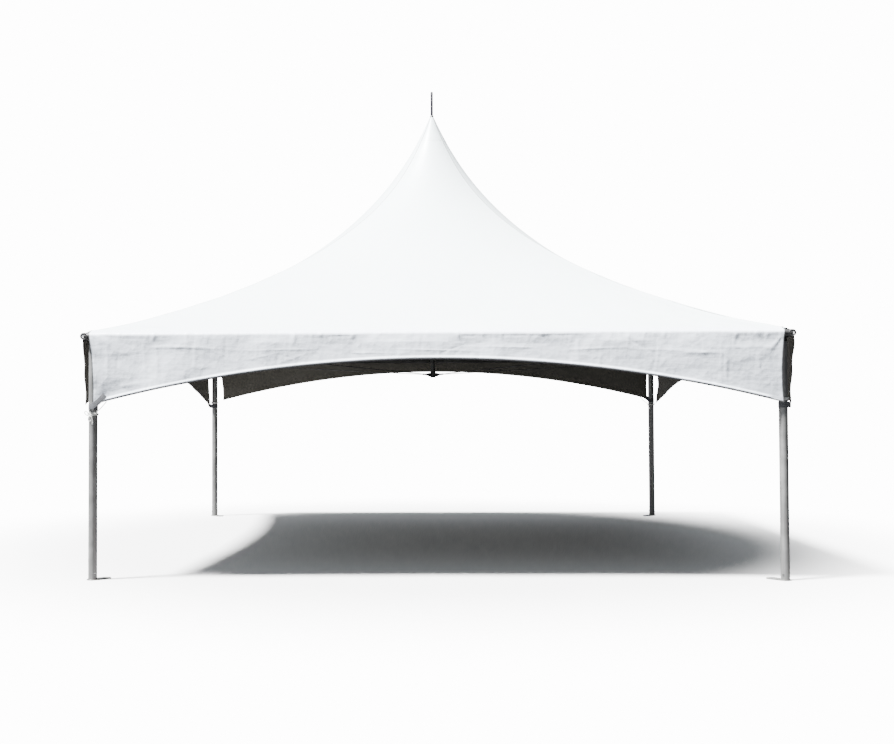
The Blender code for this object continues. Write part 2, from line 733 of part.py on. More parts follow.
def make_tie_ropes():
    """On the front and back valances the rope droops to the leg; on the side ones it is tucked
    up behind the sheet, above the strap."""
    drooping = tie_route(ROPE_TOP_Z, [(-2.850, -3.026, -0.034), (-2.885, -3.016, -0.068)],
                         [(-0.016, -0.006, -0.012), (-0.026, -0.008, -0.045), (-0.022, -0.006, -0.080)])
    left = make_tie_rope("tie_rope_front_left", drooping)
    quarter_copy(left, "tie_rope_back_right", 2, BACK_HEM_RISE)
    tucked = tie_route(TUCKED_ROPE_TOP_Z, [(-2.845, -3.016, -0.011), (-2.880, -3.006, 0.004)],
                       [(0.022, -0.007, -0.003), (0.050, -0.006, -0.009), (0.078, -0.008, -0.013)])
    right = make_tie_rope("tie_rope_front_right", tucked)
    right.matrix_world = quarter_turn(1)
    quarter_copy(right, "tie_rope_back_left", 2)


def make_tent():
    make_base_plates()
    make_legs()
    make_corner_fittings()
    make_rails()
    make_mast()
    make_cables()
    make_roof()
    make_valances()
    make_straps()
    make_tie_ropes()


make_tent()
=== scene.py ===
# %% [markdown]
# # A high-peak frame marquee
# The marquee is one square bay: four round legs on flat plates, a square of tubes at the eaves, two
# pairs of crossed wire stays that float a short mast over the middle, and a vinyl roof that the mast
# pushes up into a peak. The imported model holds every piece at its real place. This script leaves
# that frame where it is and makes the surfaces that people see: creased vinyl, dull tube, webbing,
# braided rope. Each step first says what the real piece is, and then builds it.

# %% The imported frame
import math
from collections import namedtuple

import bmesh
import bpy
import numpy as np
from mathutils import Matrix, Vector


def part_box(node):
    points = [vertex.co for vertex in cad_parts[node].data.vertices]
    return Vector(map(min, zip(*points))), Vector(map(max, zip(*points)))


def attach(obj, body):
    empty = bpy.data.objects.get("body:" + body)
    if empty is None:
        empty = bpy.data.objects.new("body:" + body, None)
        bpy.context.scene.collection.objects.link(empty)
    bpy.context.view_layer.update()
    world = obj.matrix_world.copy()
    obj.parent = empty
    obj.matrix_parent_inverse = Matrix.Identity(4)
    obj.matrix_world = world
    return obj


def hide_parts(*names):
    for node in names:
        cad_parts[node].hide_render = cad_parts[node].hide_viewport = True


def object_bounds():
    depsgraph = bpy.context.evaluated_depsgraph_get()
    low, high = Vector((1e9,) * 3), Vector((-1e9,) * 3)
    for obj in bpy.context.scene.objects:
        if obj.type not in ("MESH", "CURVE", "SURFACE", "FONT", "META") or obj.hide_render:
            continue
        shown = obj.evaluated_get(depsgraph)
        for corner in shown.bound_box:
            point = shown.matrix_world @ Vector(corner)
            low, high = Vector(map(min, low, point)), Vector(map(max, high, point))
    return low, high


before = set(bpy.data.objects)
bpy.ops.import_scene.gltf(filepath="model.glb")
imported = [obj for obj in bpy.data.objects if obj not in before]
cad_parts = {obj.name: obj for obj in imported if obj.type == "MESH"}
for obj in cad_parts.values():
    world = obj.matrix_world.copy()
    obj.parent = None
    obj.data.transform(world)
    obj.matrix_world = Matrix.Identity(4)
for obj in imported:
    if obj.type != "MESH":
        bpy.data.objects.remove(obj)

cad_low, cad_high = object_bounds()
HALF = cad_high.x


def box_of(node):
    """Lowest corner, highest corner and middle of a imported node, as arrays."""
    low, high = (np.array(corner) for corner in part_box(node))
    return low, high, (low + high) / 2


rail_low, rail_high, rail_middle = box_of("front_rail_right")
leg_low, leg_high, leg_middle = box_of("leg_front_left")
RAIL_R = (rail_high[2] - rail_low[2]) / 2
RAIL_OUT = -rail_middle[1]
RAIL_Z = rail_middle[2]
LEG_R = (leg_high[0] - leg_low[0]) / 2
LEG_OUT = -leg_middle[0]
SHOULDER_Z = leg_high[2]
print("half width", round(HALF, 4), "rail", round(RAIL_OUT, 4), round(RAIL_Z, 4), "leg", round(LEG_OUT, 4))

# %% [markdown]
# ## Camera
# The camera stood about 10 m in front of the tent, as high as a standing person's eyes, and looked
# very slightly up. It could be moved by eye until the picture fits. Its place, turn and lens were
# fitted to the feet, the eaves and the peak instead, which gives one answer. The picture was trimmed
# more on one side than on the other, and a small sideways shift of the lens repeats that.

# %% Camera
IMAGE_WIDTH = 894
FOCAL_PIXELS = 1184.2
MIDDLE_SHIFT_PIXELS = 55.7
SENSOR_MM = 36.0
CAMERA_PLACE = Vector((-0.083, -13.115, 1.496))
CAMERA_TURN = math.radians(1.653)
CAMERA_TILT = math.radians(1.590)
CAMERA_ROLL = math.radians(-0.207)


def add_object(name, data):
    """A new object in the scene, at the origin."""
    added = bpy.data.objects.new(name, data)
    bpy.context.scene.collection.objects.link(added)
    return added


def aim_camera():
    """Turns about Z, tilts up, then rolls: the axes are right, up and backwards."""
    ahead = Vector((-math.sin(CAMERA_TURN) * math.cos(CAMERA_TILT),
                    math.cos(CAMERA_TURN) * math.cos(CAMERA_TILT), math.sin(CAMERA_TILT)))
    level = Vector((math.cos(CAMERA_TURN), math.sin(CAMERA_TURN), 0.0))
    right = level * math.cos(CAMERA_ROLL) + level.cross(ahead) * math.sin(CAMERA_ROLL)
    axes = Matrix((right, right.cross(ahead), -ahead)).transposed()
    data = bpy.data.cameras.new("camera")
    data.sensor_width = SENSOR_MM
    data.lens = FOCAL_PIXELS / IMAGE_WIDTH * SENSOR_MM
    data.shift_x = MIDDLE_SHIFT_PIXELS / IMAGE_WIDTH
    camera = add_object("camera", data)
    camera.matrix_world = Matrix.Translation(CAMERA_PLACE) @ axes.to_4x4()
    bpy.context.scene.camera = camera
    return camera


camera = aim_camera()
print("lens", round(camera.data.lens, 2), "mm, shift", round(camera.data.shift_x, 4))

# %% [markdown]
# ## Surfaces from arrays
# A surface is a grid of points: rows run down it and columns run across it. It could be modelled by
# hand or point by point in a loop. Numpy works out the whole grid at once from a formula instead, so
# a shape is a few lines that can be read and changed. Each grid carries a second pair of numbers, the
# place on the flat cut in metres, so that a weave or a seam keeps its true size.

# %% Skins
# Its points and faces, the flat cut at each face's corners, 1 on a sheet's inner side and 0 on the
# outer one, and each point's distance from the nearest hem.
Skin = namedtuple("Skin", "points faces cut inside edge")
FAR_FROM_HEM = 1.0


def volume(points, faces):
    """Signed volume: the sum of a . (b x c) / 6 over the triangles, about the middle."""
    local = points - points.mean(axis=0)
    a, b, c, d = (local[faces[:, k]] for k in range(4))
    halves = np.einsum("ij,ij->i", a, np.cross(b, c)) + np.einsum("ij,ij->i", a, np.cross(c, d))
    return halves.sum() / 6


def facing_out(made):
    """Turns the faces round where they point into the shape."""
    if volume(made.points, made.faces) >= 0.0:
        return made
    return made._replace(faces=made.faces[:, ::-1], cut=made.cut[:, ::-1])


def grid_corners(rows, columns, wrap, loop):
    """Row and column numbers of each face's four corners: (i, j), (i, j+1), (i+1, j+1), (i+1, j)."""
    i, j = np.meshgrid(np.arange(rows if loop else rows - 1),
                       np.arange(columns if wrap else columns - 1), indexing="ij")
    down = np.stack([i, i, i + 1, i + 1], -1).reshape(-1, 4)
    across = np.stack([j, j + 1, j + 1, j], -1).reshape(-1, 4)
    return down, across


def skin(points, wrap=False, loop=False, u=0.0, v=0.0):
    """A closed grid: wrap joins the last column to the first, and loop the last row to the first.

    u and v are the place on the flat cut, with one more row or column where the grid closes.
    """
    rows, columns = points.shape[:2]
    down, across = grid_corners(rows, columns, wrap, loop)
    shape = (rows + loop, columns + wrap)
    cut = np.stack([np.broadcast_to(w, shape)[down, across] for w in (u, v)], -1)
    faces = (down % rows) * columns + across % columns
    flat = points.reshape(-1, 3)
    return facing_out(Skin(flat, faces, cut, np.zeros(len(flat)), np.full(len(flat), FAR_FROM_HEM)))


def sheet_skin(outer, inner, u, v, wrap=False, edge=FAR_FROM_HEM):
    """Two faces of one sheet and the thin rim that joins them along every free edge.

    edge is each point's distance from the nearest hem.
    """
    rows, columns = outer.shape[:2]
    count = rows * columns
    down, across = grid_corners(rows, columns, wrap, False)
    front = down * columns + across % columns
    shape = (rows, columns + wrap)
    u, v = (np.broadcast_to(w, shape) for w in (u, v))
    cut = np.stack([u[down, across], v[down, across]], -1)
    number = np.arange(count).reshape(rows, columns)
    top, low = number[0], number[-1][::-1]
    if wrap:
        edges = [np.append(top, top[0]), np.append(low, low[0])]
    else:
        edges = [np.concatenate([top, number[1:, -1], low[1:], number[::-1, 0][1:]])]
    rims = np.concatenate([np.stack([e[1:], e[:-1], e[:-1] + count, e[1:] + count], -1) for e in edges])
    place = np.stack([u[:, :columns], v[:, :columns]], -1).reshape(-1, 2)
    rim_cut = place[rims % count]
    points = np.concatenate([outer.reshape(-1, 3), inner.reshape(-1, 3)])
    faces = np.concatenate([front, front[:, ::-1] + count, rims])
    cut = np.concatenate([cut, cut[:, ::-1], rim_cut])
    inside = np.repeat([0.0, 1.0], count)
    edge = np.tile(np.broadcast_to(edge, (rows, columns)).ravel(), 2)
    return facing_out(Skin(points, faces, cut, inside, edge))


def flat_area(made):
    """Area of one face of a thin sheet: half of the surface of all its skin."""
    a, b, c, d = (made.points[made.faces[:, k]] for k in range(4))
    twice = np.linalg.norm(np.cross(b - a, c - a), axis=1) + np.linalg.norm(np.cross(c - a, d - a), axis=1)
    return twice.sum() / 4


print("a skin holds", ", ".join(Skin._fields))

# %% [markdown]
# ## Pieces on the frame
# A piece is one mesh at the origin, made of as many skins as it needs. They could be separate
# objects that are joined at the end. Stacking their arrays first is quicker, and the doubled points
# at poles and seams are merged once, in the finished mesh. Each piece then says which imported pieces
# it stands for, so that the plain solids give way to it.

# %% Pieces
PIECES = {}
MERGE_DISTANCE = 1e-6
CORNERS = ("front_left", "front_right", "back_right", "back_left")
SIDES = ("front", "right", "back", "left")


def make_piece(name, skins, finish, replaced=(), sharp=38.0):
    """Puts skins into one mesh, merges its poles and seams, and rides it on the tent."""
    starts = np.cumsum([0] + [len(s.points) for s in skins[:-1]])
    points = np.concatenate([s.points for s in skins])
    faces = np.concatenate([s.faces + start for s, start in zip(skins, starts)])
    mesh = bpy.data.meshes.new(name)
    mesh.from_pydata(points.tolist(), [], faces.tolist())
    layer = mesh.uv_layers.new(name="cut")
    layer.data.foreach_set("uv", np.concatenate([s.cut for s in skins]).astype(np.float32).ravel())
    for title in ("inside", "edge"):
        values = np.concatenate([getattr(s, title) for s in skins]).astype(np.float32)
        mesh.attributes.new(title, "FLOAT", "POINT").data.foreach_set("value", values)
    bm = bmesh.new()
    bm.from_mesh(mesh)
    bmesh.ops.remove_doubles(bm, verts=list(bm.verts), dist=MERGE_DISTANCE)
    bm.to_mesh(mesh)
    bm.free()
    mesh.shade_smooth()
    mesh.set_sharp_from_angle(angle=math.radians(sharp))
    mesh.materials.append(finish.material)
    piece = add_object(name, mesh)
    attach(piece, "root")
    if replaced:
        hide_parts(*replaced)
    PIECES[name] = sum(len(p.vertices) - 2 for p in mesh.polygons)
    return piece


def quarter(made, turns):
    """The same skin a number of quarter turns further round the mast."""
    c, s = round(math.cos(turns * math.pi / 2)), round(math.sin(turns * math.pi / 2))
    return made._replace(points=made.points @ np.array([[c, s, 0], [-s, c, 0], [0, 0, 1]]))


print("each quarter turn goes on to", ", ".join(CORNERS[1:] + CORNERS[:1]))

# %% [markdown]
# ## Turning
# Tubes, pins and cups are turned: a profile goes round an axis, as on a lathe. A stock cylinder or a
# Screw modifier does that too. Here the profile also holds the bore, the chamfers and the rounded
# rims, and all of them come from the same few measures.

# %% Turned shapes
ROUND = 48
RIM = 0.0008


def unit(vectors):
    """Each vector divided by its own length."""
    return vectors / np.linalg.norm(vectors, axis=-1, keepdims=True)


def lengths_along(points):
    """Distance of each point from the first, along the points."""
    return np.append(0.0, np.cumsum(np.linalg.norm(np.diff(points, axis=0), axis=1)))


def turn(profile, sides=ROUND, loop=False):
    """A profile of (radius, height) goes round Z: x = r cos a, y = r sin a, z = height."""
    profile = np.asarray(profile, float)
    around = np.arange(sides + 1) / sides * math.tau
    r, z = profile[:, 0, None], profile[:, 1, None]
    a = around[None, :-1]
    points = np.stack([r * np.cos(a), r * np.sin(a), np.broadcast_to(z, (len(profile), sides))], -1)
    v = lengths_along(np.append(profile, profile[:1], axis=0) if loop else profile)
    return skin(points, wrap=True, loop=loop, u=around[None] * profile[:, 0].max(), v=v[:, None])


def placed(made, origin, axis, across=(0.0, 0.0, 1.0)):
    """Sets a skin down with its Z along `axis` and its Y nearest to `across`."""
    z = unit(np.asarray(axis, float))
    x = np.cross(np.asarray(across, float), z)
    x = unit(x if np.linalg.norm(x) > 1e-6 else np.cross([0.0, 1.0, 0.0], z))
    return made._replace(points=made.points @ np.stack([x, np.cross(z, x), z]) + np.asarray(origin))


def pipe(radius, wall, low, high):
    """A tube's profile: outer wall, rounded rim, bore, rounded rim."""
    inner, c = radius - wall, RIM
    return [(radius - c, high), (radius, high - c), (radius, low + c), (radius - c, low),
            (inner + c, low), (inner, low + c), (inner, high - c), (inner + c, high)]


flat_error = LEG_R * (1 - math.cos(math.pi / ROUND))
print(ROUND, "sides leave a leg's true circle by", round(flat_error * 1000, 2), "mm")

# %% [markdown]
# ## Carrying
# Ropes, straps and weld beads are carried: a closed section goes along a path. A curve object with a
# bevel makes a rope too, but its section is the same all the way. Here every row has its own section,
# so it can swell, turn and have strands.

# %% Carried shapes
def carry(path, side, lift, section, width=None):
    """A closed section along a path: point = path + side x + lift y. Each end closes on its middle."""
    path = np.asarray(path, float)
    count = section.shape[-2]
    section = np.broadcast_to(section, (len(path), count, 2))
    body = path[:, None] + side[:, None] * section[..., :1] + lift[:, None] * section[..., 1:]
    ends = [np.repeat(body[k].mean(axis=0)[None, None], count, axis=1) for k in (0, -1)]
    points = np.concatenate([ends[0], body, ends[1]])
    v = lengths_along(path)
    v = np.concatenate([v[:1], v, v[-1:]])
    around = np.linspace(0.0, width or 1.0, count + 1)
    return skin(points, wrap=True, u=around[None], v=v[:, None])


def smooth_path(points, steps):
    """A curve through every point: each stretch is the cubic that leaves and meets them smoothly."""
    p = np.asarray(points, float)
    p = np.concatenate([[2 * p[0] - p[1]], p, [2 * p[-1] - p[-2]]])
    a, b, c, d = p[:-3, None], p[1:-2, None], p[2:-1, None], p[3:, None]
    t = (np.arange(steps) / steps)[None, :, None]
    curve = 0.5 * (2 * b + (c - a) * t + (2 * a - 5 * b + 4 * c - d) * t ** 2
                   + (3 * b - a - 3 * c + d) * t ** 3)
    return np.concatenate([curve.reshape(-1, 3), p[-2:-1]])


def evenly(path, gap):
    """The same path with a point about every `gap` metres."""
    at = lengths_along(path)
    wanted = np.linspace(0.0, at[-1], max(2, round(at[-1] / gap) + 1))
    return np.stack([np.interp(wanted, at, path[:, k]) for k in range(3)], -1)


def steady_frame(path, first_side):
    """Side and lift directions that follow a path without spinning round it."""
    ahead = unit(np.gradient(path, axis=0))
    side = [np.asarray(first_side, float)]
    for direction in ahead:
        side.append(unit(side[-1] - direction * (side[-1] @ direction)))
    side = np.array(side[1:])
    return side, np.cross(ahead, side)


def rounded_box(width, height, corner, steps=3):
    """The outline of a rectangle with rounded corners, counter-clockwise."""
    angles = np.radians(np.arange(4 * (steps + 1)) // (steps + 1) * 90.0
                        + np.tile(np.linspace(0.0, 90.0, steps + 1), 4))
    sign_x = np.repeat([1, -1, -1, 1], steps + 1) * (width / 2 - corner)
    sign_y = np.repeat([1, 1, -1, -1], steps + 1) * (height / 2 - corner)
    return np.stack([sign_x + corner * np.cos(angles), sign_y + corner * np.sin(angles)], -1)


print("a rounded section has", len(rounded_box(0.05, 0.0025, 0.001)), "points")

# %% [markdown]
# ## Plates with a hole
# A lug or a base plate is cut from flat bar and drilled. A boolean could cut the hole, and would
# leave thin splinters of faces round it. The plate is a ring of sections instead, one for each
# direction from the middle of the hole: the hole is round, its rim has a bevel and all faces are clean.

# %% Holed plates
def holed_plate(outline, hole_r, thickness, bevel, steps=72):
    """A flat plate about the hole at its origin; outline(a) is its edge's distance from there.

    Each direction holds the same section: up the hole's wall, out along the top, down the edge
    and back along the underside, with a bevel at all four corners.
    """
    around = np.arange(steps) / steps * math.tau
    edge = outline(around)
    h, b = thickness / 2, bevel
    radius = [hole_r + 0 * edge, hole_r + 0 * edge, hole_r + b + 0 * edge, edge - b, edge, edge,
              edge - b, hole_r + b + 0 * edge]
    height = np.array([b - h, h - b, h, h, h - b, b - h, -h, -h])[:, None]
    r = np.array(radius)
    points = np.stack([r * np.cos(around), r * np.sin(around), height + 0 * r], -1)
    return skin(points, wrap=True, loop=True)


disc = holed_plate(lambda around: 0.05 + 0 * around, 0.015, 0.008, 0.001)
print("a 100 mm disc with a 30 mm hole:", round(volume(disc.points, disc.faces) * 1e6, 1), "cm3")

# %% [markdown]
# ## Shader maths
# A finish is a formula too. Its nodes could be wired by hand in the shader editor, where a long sum
# soon becomes hard to follow. The small class below lets a node's socket stand in a Python
# expression, so that `1 - wear * 0.3` builds its own Math nodes, and one method makes every other
# node from its type, its settings and its inputs.

# %% Shader expressions
class Value:
    """A node's output socket that can be added, subtracted, multiplied and divided."""

    def __init__(self, graph, socket):
        self.graph = graph
        self.socket = socket

    def _with(self, operation, first, second):
        return self.graph.node("ShaderNodeMath", {"operation": operation}, {0: first, 1: second})

    def __add__(self, other):
        return self._with("ADD", self, other)

    __radd__ = __add__

    def __sub__(self, other):
        return self._with("SUBTRACT", self, other)

    def __rsub__(self, other):
        return self._with("SUBTRACT", other, self)

    def __mul__(self, other):
        return self._with("MULTIPLY", self, other)

    __rmul__ = __mul__

    def __truediv__(self, other):
        return self._with("DIVIDE", self, other)

    def __abs__(self):
        return self._with("ABSOLUTE", self, 0.0)


class Graph:
    """A node tree that is written as expressions."""

    def __init__(self, tree):
        self.tree = tree

    def node(self, kind, settings, inputs, output=0):
        """Any node: its settings come first, then a value or a link for each input."""
        made = self.tree.nodes.new(kind)
        for key, value in settings.items():
            setattr(made, key, value)
        for key, value in inputs.items():
            socket = made.inputs[key] if isinstance(key, int) else next(
                s for s in made.inputs if key in (s.identifier, s.name))
            if isinstance(value, Value):
                self.tree.links.new(value.socket, socket)
            else:
                socket.default_value = value
        found = made.outputs[output] if isinstance(output, int) else next(
            s for s in made.outputs if output in (s.identifier, s.name))
        return Value(self, found)

    def split(self, vector):
        """The three numbers of a vector or a colour."""
        return [self.node("ShaderNodeSeparateXYZ", {}, {0: vector}, k) for k in range(3)]

    def ease(self, value, start, end, at_start=0.0, at_end=1.0):
        """Smoothly from at_start to at_end as the value goes from start to end."""
        inputs = {"Value": value, "From Min": start, "From Max": end, "To Min": at_start,
                  "To Max": at_end}
        return self.node("ShaderNodeMapRange", {"interpolation_type": "SMOOTHSTEP"}, inputs)


# %% One class for all finishes
class Finish(Graph):
    """One material with a Principled shader."""

    def __init__(self, name, roughness=0.5, metallic=0.0):
        self.material = bpy.data.materials.new(name)
        self.material.use_nodes = True
        super().__init__(self.material.node_tree)
        self.shader = self.tree.nodes["Principled BSDF"]
        self.shader.inputs["Roughness"].default_value = roughness
        self.shader.inputs["Metallic"].default_value = metallic
        self.place = self.node("ShaderNodeTexCoord", {}, {}, "Object")

    def mix(self, factor, first, second):
        """Colour `first` where factor is 0 and `second` where it is 1."""
        inputs = {"Factor_Float": factor, "A_Color": first, "B_Color": second}
        return self.node("ShaderNodeMix", {"data_type": "RGBA"}, inputs, "Result_Color")

    def stretched(self, scale):
        """The place on the tent, scaled by its own factor along each axis."""
        return self.node("ShaderNodeMapping", {}, {"Vector": self.place, "Scale": scale})

    def noise(self, scale, detail=3.0, vector=None, distortion=0.0):
        """Clouds round a half, about `scale` of them to a metre."""
        inputs = {"Vector": vector or self.place, "Scale": scale, "Detail": detail,
                  "Distortion": distortion}
        return self.node("ShaderNodeTexNoise", {}, inputs, "Fac")

    def facets(self, scale):
        """Crumpled patches: the distance to the nearest of many points, measured along the axes,
        has straight slopes that meet on straight creases."""
        return self.node("ShaderNodeTexVoronoi", {"feature": "F1", "distance": "MANHATTAN"},
                         {"Vector": self.place, "Scale": scale}, "Distance")

    def attribute(self, title):
        """A number that every point of the piece carries."""
        return self.node("ShaderNodeAttribute", {"attribute_name": title}, {}, "Fac")

    def flat_cut(self):
        """Place on the flat cut: across and along, in metres."""
        return self.split(self.node("ShaderNodeUVMap", {"uv_map": "cut"}, {}))[:2]

    def sine(self, value):
        """The sine of a value in radians."""
        return self.node("ShaderNodeMath", {"operation": "SINE"}, {0: value})

    def wave(self, phase):
        """From 0 to 1 and back, once for each full turn of the phase."""
        return self.sine(phase) * 0.5 + 0.5

    def crease(self, scale, width, **more):
        """Thin lines where a smooth noise passes through its middle value: 1 on the line."""
        return self.ease(abs(self.noise(scale, **more) - 0.5), 0.0, width, 1.0, 0.0)

    def use(self, socket, value):
        """Feeds a value to the shader's own socket."""
        self.tree.links.new(value.socket, self.shader.inputs[socket])

    def relief(self, height):
        """Bump from a height in metres."""
        self.use("Normal", self.node("ShaderNodeBump", {}, {"Height": height, "Distance": 1.0,
                                                            "Strength": 1.0}))


def paint(red, green, blue):
    """A colour that covers fully."""
    return (red, green, blue, 1.0)


# %% [markdown]
# ## Vinyl
# The canopy is a polyester scrim coated on both sides, about half a millimetre thick. The outside
# is a gloss white, which on the valances is painted bluer, a painted tint of the cool shade they hang
# in. The inside faces are painted a dark, dull grey: painted shade for the dim inside of the tent. It
# is stored folded and comes out crumpled into small flat patches, and rain leaves faint grey runs.
# The hems are doubled: a weld line shows where the fold ends and the lowest centimetre picks up dirt,
# and the band below the hem rope is painted near-black, a painted shade. A thin grey line is drawn
# along each hip. A painted picture could show all this, at one size and with a seam. Formulas have
# neither limit: every point knows its distance from the nearest hem, and the finish draws the lines
# that follow it.

# %% Vinyl finishes
SCRIM_PITCH = 0.0011
SCRIM_RELIEF = 0.00003
HEM_FOLD = 0.038
WELD_HALF = 0.002
WELD_RELIEF = 0.0003
SOIL_FADE = (0.006, 0.020)
HEM_SHADE_FADE = (0.009, 0.016)
HIP_LINE = 0.006
ROOF_CRUMPLE = 0.0006
VALANCE_CRUMPLE = 0.0022
# Painted shade: the inside faces are given this dark grey for the dim shade inside the tent.
LINING_PAINTED_SHADE = paint(0.128, 0.120, 0.104)
# Painted shade: the near-black of the band under the hem rope.
HEM_PAINTED_SHADE = paint(0.07, 0.07, 0.072)
HIP_LINE_GREY = paint(0.30, 0.31, 0.32)


def scrim(finish):
    """The woven base showing through the coat: a product of two sines, one along each thread."""
    across, along = finish.flat_cut()
    per_metre = math.tau / SCRIM_PITCH
    return finish.sine(across * per_metre) * finish.sine(along * per_metre)


def vinyl(name, white, shade, crumple, hip_line=0.0):
    """Grime, runs, weld and dirt add up to the marks, which take the outside from white to shade.

    The distance from a hip is ||x| - |y|| / sqrt 2. Patches, weld and weave add up to the relief.
    """
    finish = Finish(name)
    finish.shader.inputs["Specular IOR Level"].default_value = 0.2
    finish.shader.inputs["Coat Roughness"].default_value = 0.4
    edge, side = finish.attribute("edge"), finish.attribute("inside")
    grime = finish.ease(finish.noise(1.3, 6.0), 0.45, 0.75)
    runs = finish.ease(finish.noise(1.0, 4.0, finish.stretched((9.0, 9.0, 0.8))), 0.52, 0.80)
    weld = finish.ease(abs(edge - HEM_FOLD), 0.0, WELD_HALF, 1.0, 0.0)
    soil = finish.ease(edge + finish.noise(25.0, 4.0) * 0.012, *SOIL_FADE, 1.0, 0.0)
    doubled = finish.ease(edge, HEM_FOLD - WELD_HALF, HEM_FOLD, 1.0, 0.0)
    marks = 0.25 + grime * 0.35 + runs * 0.25 + weld * 0.4 + soil * 0.5 - doubled * 0.25
    outer = finish.mix(marks, white, shade)
    # Painted shade: the hem's lowest band, below its rope, goes to near-black.
    outer = finish.mix(finish.ease(edge, *HEM_SHADE_FADE, 1.0, 0.0), outer, HEM_PAINTED_SHADE)
    # A thin grey line is drawn along each hip.
    if hip_line:
        x, y, _ = finish.split(finish.place)
        from_hip = abs(abs(x) - abs(y)) / math.sqrt(2)
        outer = finish.mix(finish.ease(from_hip, hip_line * 0.75, hip_line, 1.0, 0.0), outer, HIP_LINE_GREY)
    # Painted shade: the inside faces take the dark grey, varied a little by grime.
    shaded_lining = finish.mix(grime * 0.6, LINING_PAINTED_SHADE, paint(*(1.3 * c for c in LINING_PAINTED_SHADE[:3])))
    finish.use("Base Color", finish.mix(side, outer, shaded_lining))
    finish.use("Coat Weight", 0.3 - side * 0.3)
    finish.use("Roughness", 0.34 + grime * 0.14 + side * 0.25)
    patches = finish.facets(8.0) + finish.facets(19.0) * 0.45 + finish.noise(45.0, 3.0) * 0.12
    finish.relief(patches * crumple + weld * WELD_RELIEF + scrim(finish) * SCRIM_RELIEF)
    return finish


ROOF_VINYL = vinyl("roof_vinyl", paint(0.80, 0.875, 0.89), paint(0.71, 0.785, 0.805), ROOF_CRUMPLE,
                   HIP_LINE)
# Painted shade: the valance's whites are bluer than the roof's, a painted tint of the cool shade it hangs
# in.
VALANCE_VINYL = vinyl("valance_vinyl", paint(0.81, 0.855, 0.925), paint(0.69, 0.735, 0.81),
                      VALANCE_CRUMPLE)
print("vinyl of", len(ROOF_VINYL.tree.nodes), "and", len(VALANCE_VINYL.tree.nodes), "nodes")

# %% [markdown]
# ## Metal
# Legs, rails and mast are drawn aluminium tube gone dull outdoors: long faint draw marks, a cloudy
# bloom and small scuffs. The rails and the mast are painted far darker than the legs, a painted shade
# for the shade they lie in under the roof. The fittings are welded steel, rougher, and painted
# near-black, a painted shade that keeps the open tube ends at the corners dark; the base plates are
# zinc plated. One even grey would do from far off, but it is the small changes of gloss that make it
# read as metal. The marks run along the tube, so each finish stretches its noise along one axis.

# %% Metal finishes
UPRIGHT, ALONG_X, ALONG_Y = (70.0, 70.0, 3.0), (3.0, 70.0, 70.0), (70.0, 3.0, 70.0)
BRIGHT, BRIGHT_DARK = paint(0.29, 0.29, 0.286), paint(0.20, 0.20, 0.196)
# Painted shade: the rails' and mast's greys are far darker than the legs', for the shade under the roof.
SHADED_TUBE, SHADED_TUBE_DARK = paint(0.07, 0.07, 0.068), paint(0.04, 0.04, 0.039)


def tube_metal(name, stretch, bright, dark):
    """Tone = 3/4 draw marks + 1/4 bloom, from dark to bright; bloom and scuffs take off the gloss."""
    finish = Finish(name, metallic=0.6)
    marks = finish.noise(1.0, 3.0, finish.stretched(stretch))
    bloom = finish.ease(finish.noise(7.0, 5.0), 0.35, 0.70)
    scuffs = finish.crease(26.0, 0.02, detail=3.0, distortion=1.5)
    tone = finish.ease(marks * 0.75 + bloom * 0.25, 0.25, 0.75)
    finish.use("Base Color", finish.mix(tone, dark, bright))
    finish.use("Roughness", 0.36 + bloom * 0.12 + scuffs * 0.10)
    finish.relief(marks * 0.00012 + scuffs * 0.00010)
    return finish


def forged_metal(name, bright, dark):
    """Plated or painted steel: mottled in patches, with pits and darker crusts."""
    finish = Finish(name, metallic=0.3)
    patches = finish.node("ShaderNodeTexVoronoi", {"feature": "F1"},
                          {"Vector": finish.place, "Scale": 90.0}, "Color")
    patch = finish.split(patches)[0]
    crust = finish.ease(finish.noise(18.0, 6.0), 0.45, 0.70)
    tone = patch * 0.45 + crust * 0.55
    finish.use("Base Color", finish.mix(tone, bright, dark))
    finish.use("Roughness", 0.38 + tone * 0.25)
    finish.relief(finish.noise(160.0, 4.0) * 0.00018 + crust * 0.0001)
    return finish


TUBE_UPRIGHT = tube_metal("tube_upright", UPRIGHT, BRIGHT, BRIGHT_DARK)
TUBE_ALONG_X = tube_metal("tube_along_x", ALONG_X, SHADED_TUBE, SHADED_TUBE_DARK)
TUBE_ALONG_Y = tube_metal("tube_along_y", ALONG_Y, SHADED_TUBE, SHADED_TUBE_DARK)
MAST_METAL = tube_metal("mast_metal", UPRIGHT, SHADED_TUBE, SHADED_TUBE_DARK)
SPIKE_METAL = tube_metal("spike_metal", (90.0, 90.0, 6.0), paint(0.05, 0.05, 0.058),
                         paint(0.03, 0.03, 0.036))
# Painted shade: the fittings' near-black keeps the open tube ends at the corners dark.
FITTING_STEEL = forged_metal("fitting_steel", paint(0.040, 0.040, 0.040), paint(0.016, 0.016, 0.016))
PLATE_STEEL = forged_metal("plate_steel", paint(0.17, 0.17, 0.166), paint(0.09, 0.088, 0.085))
print("tube finish of", len(TUBE_UPRIGHT.tree.nodes), "nodes, steel of", len(PLATE_STEEL.tree.nodes))

# %% [markdown]
# ## Webbing, rope, wire and plugs
# The straps are dark grey polyester webbing with a ribbed weave, the ties are white braided rope, and
# the stays are stranded steel wire, painted dark grey as the shade they hang in under the roof. A
# weave tied to the room would slide over a rope as it bends.
# Their patterns follow the piece instead, so they read the flat cut. The plugs in the tubes' ends
# are pale caps whose outer ring and lip are painted near-black, a painted shade for the gap round
# the cap.

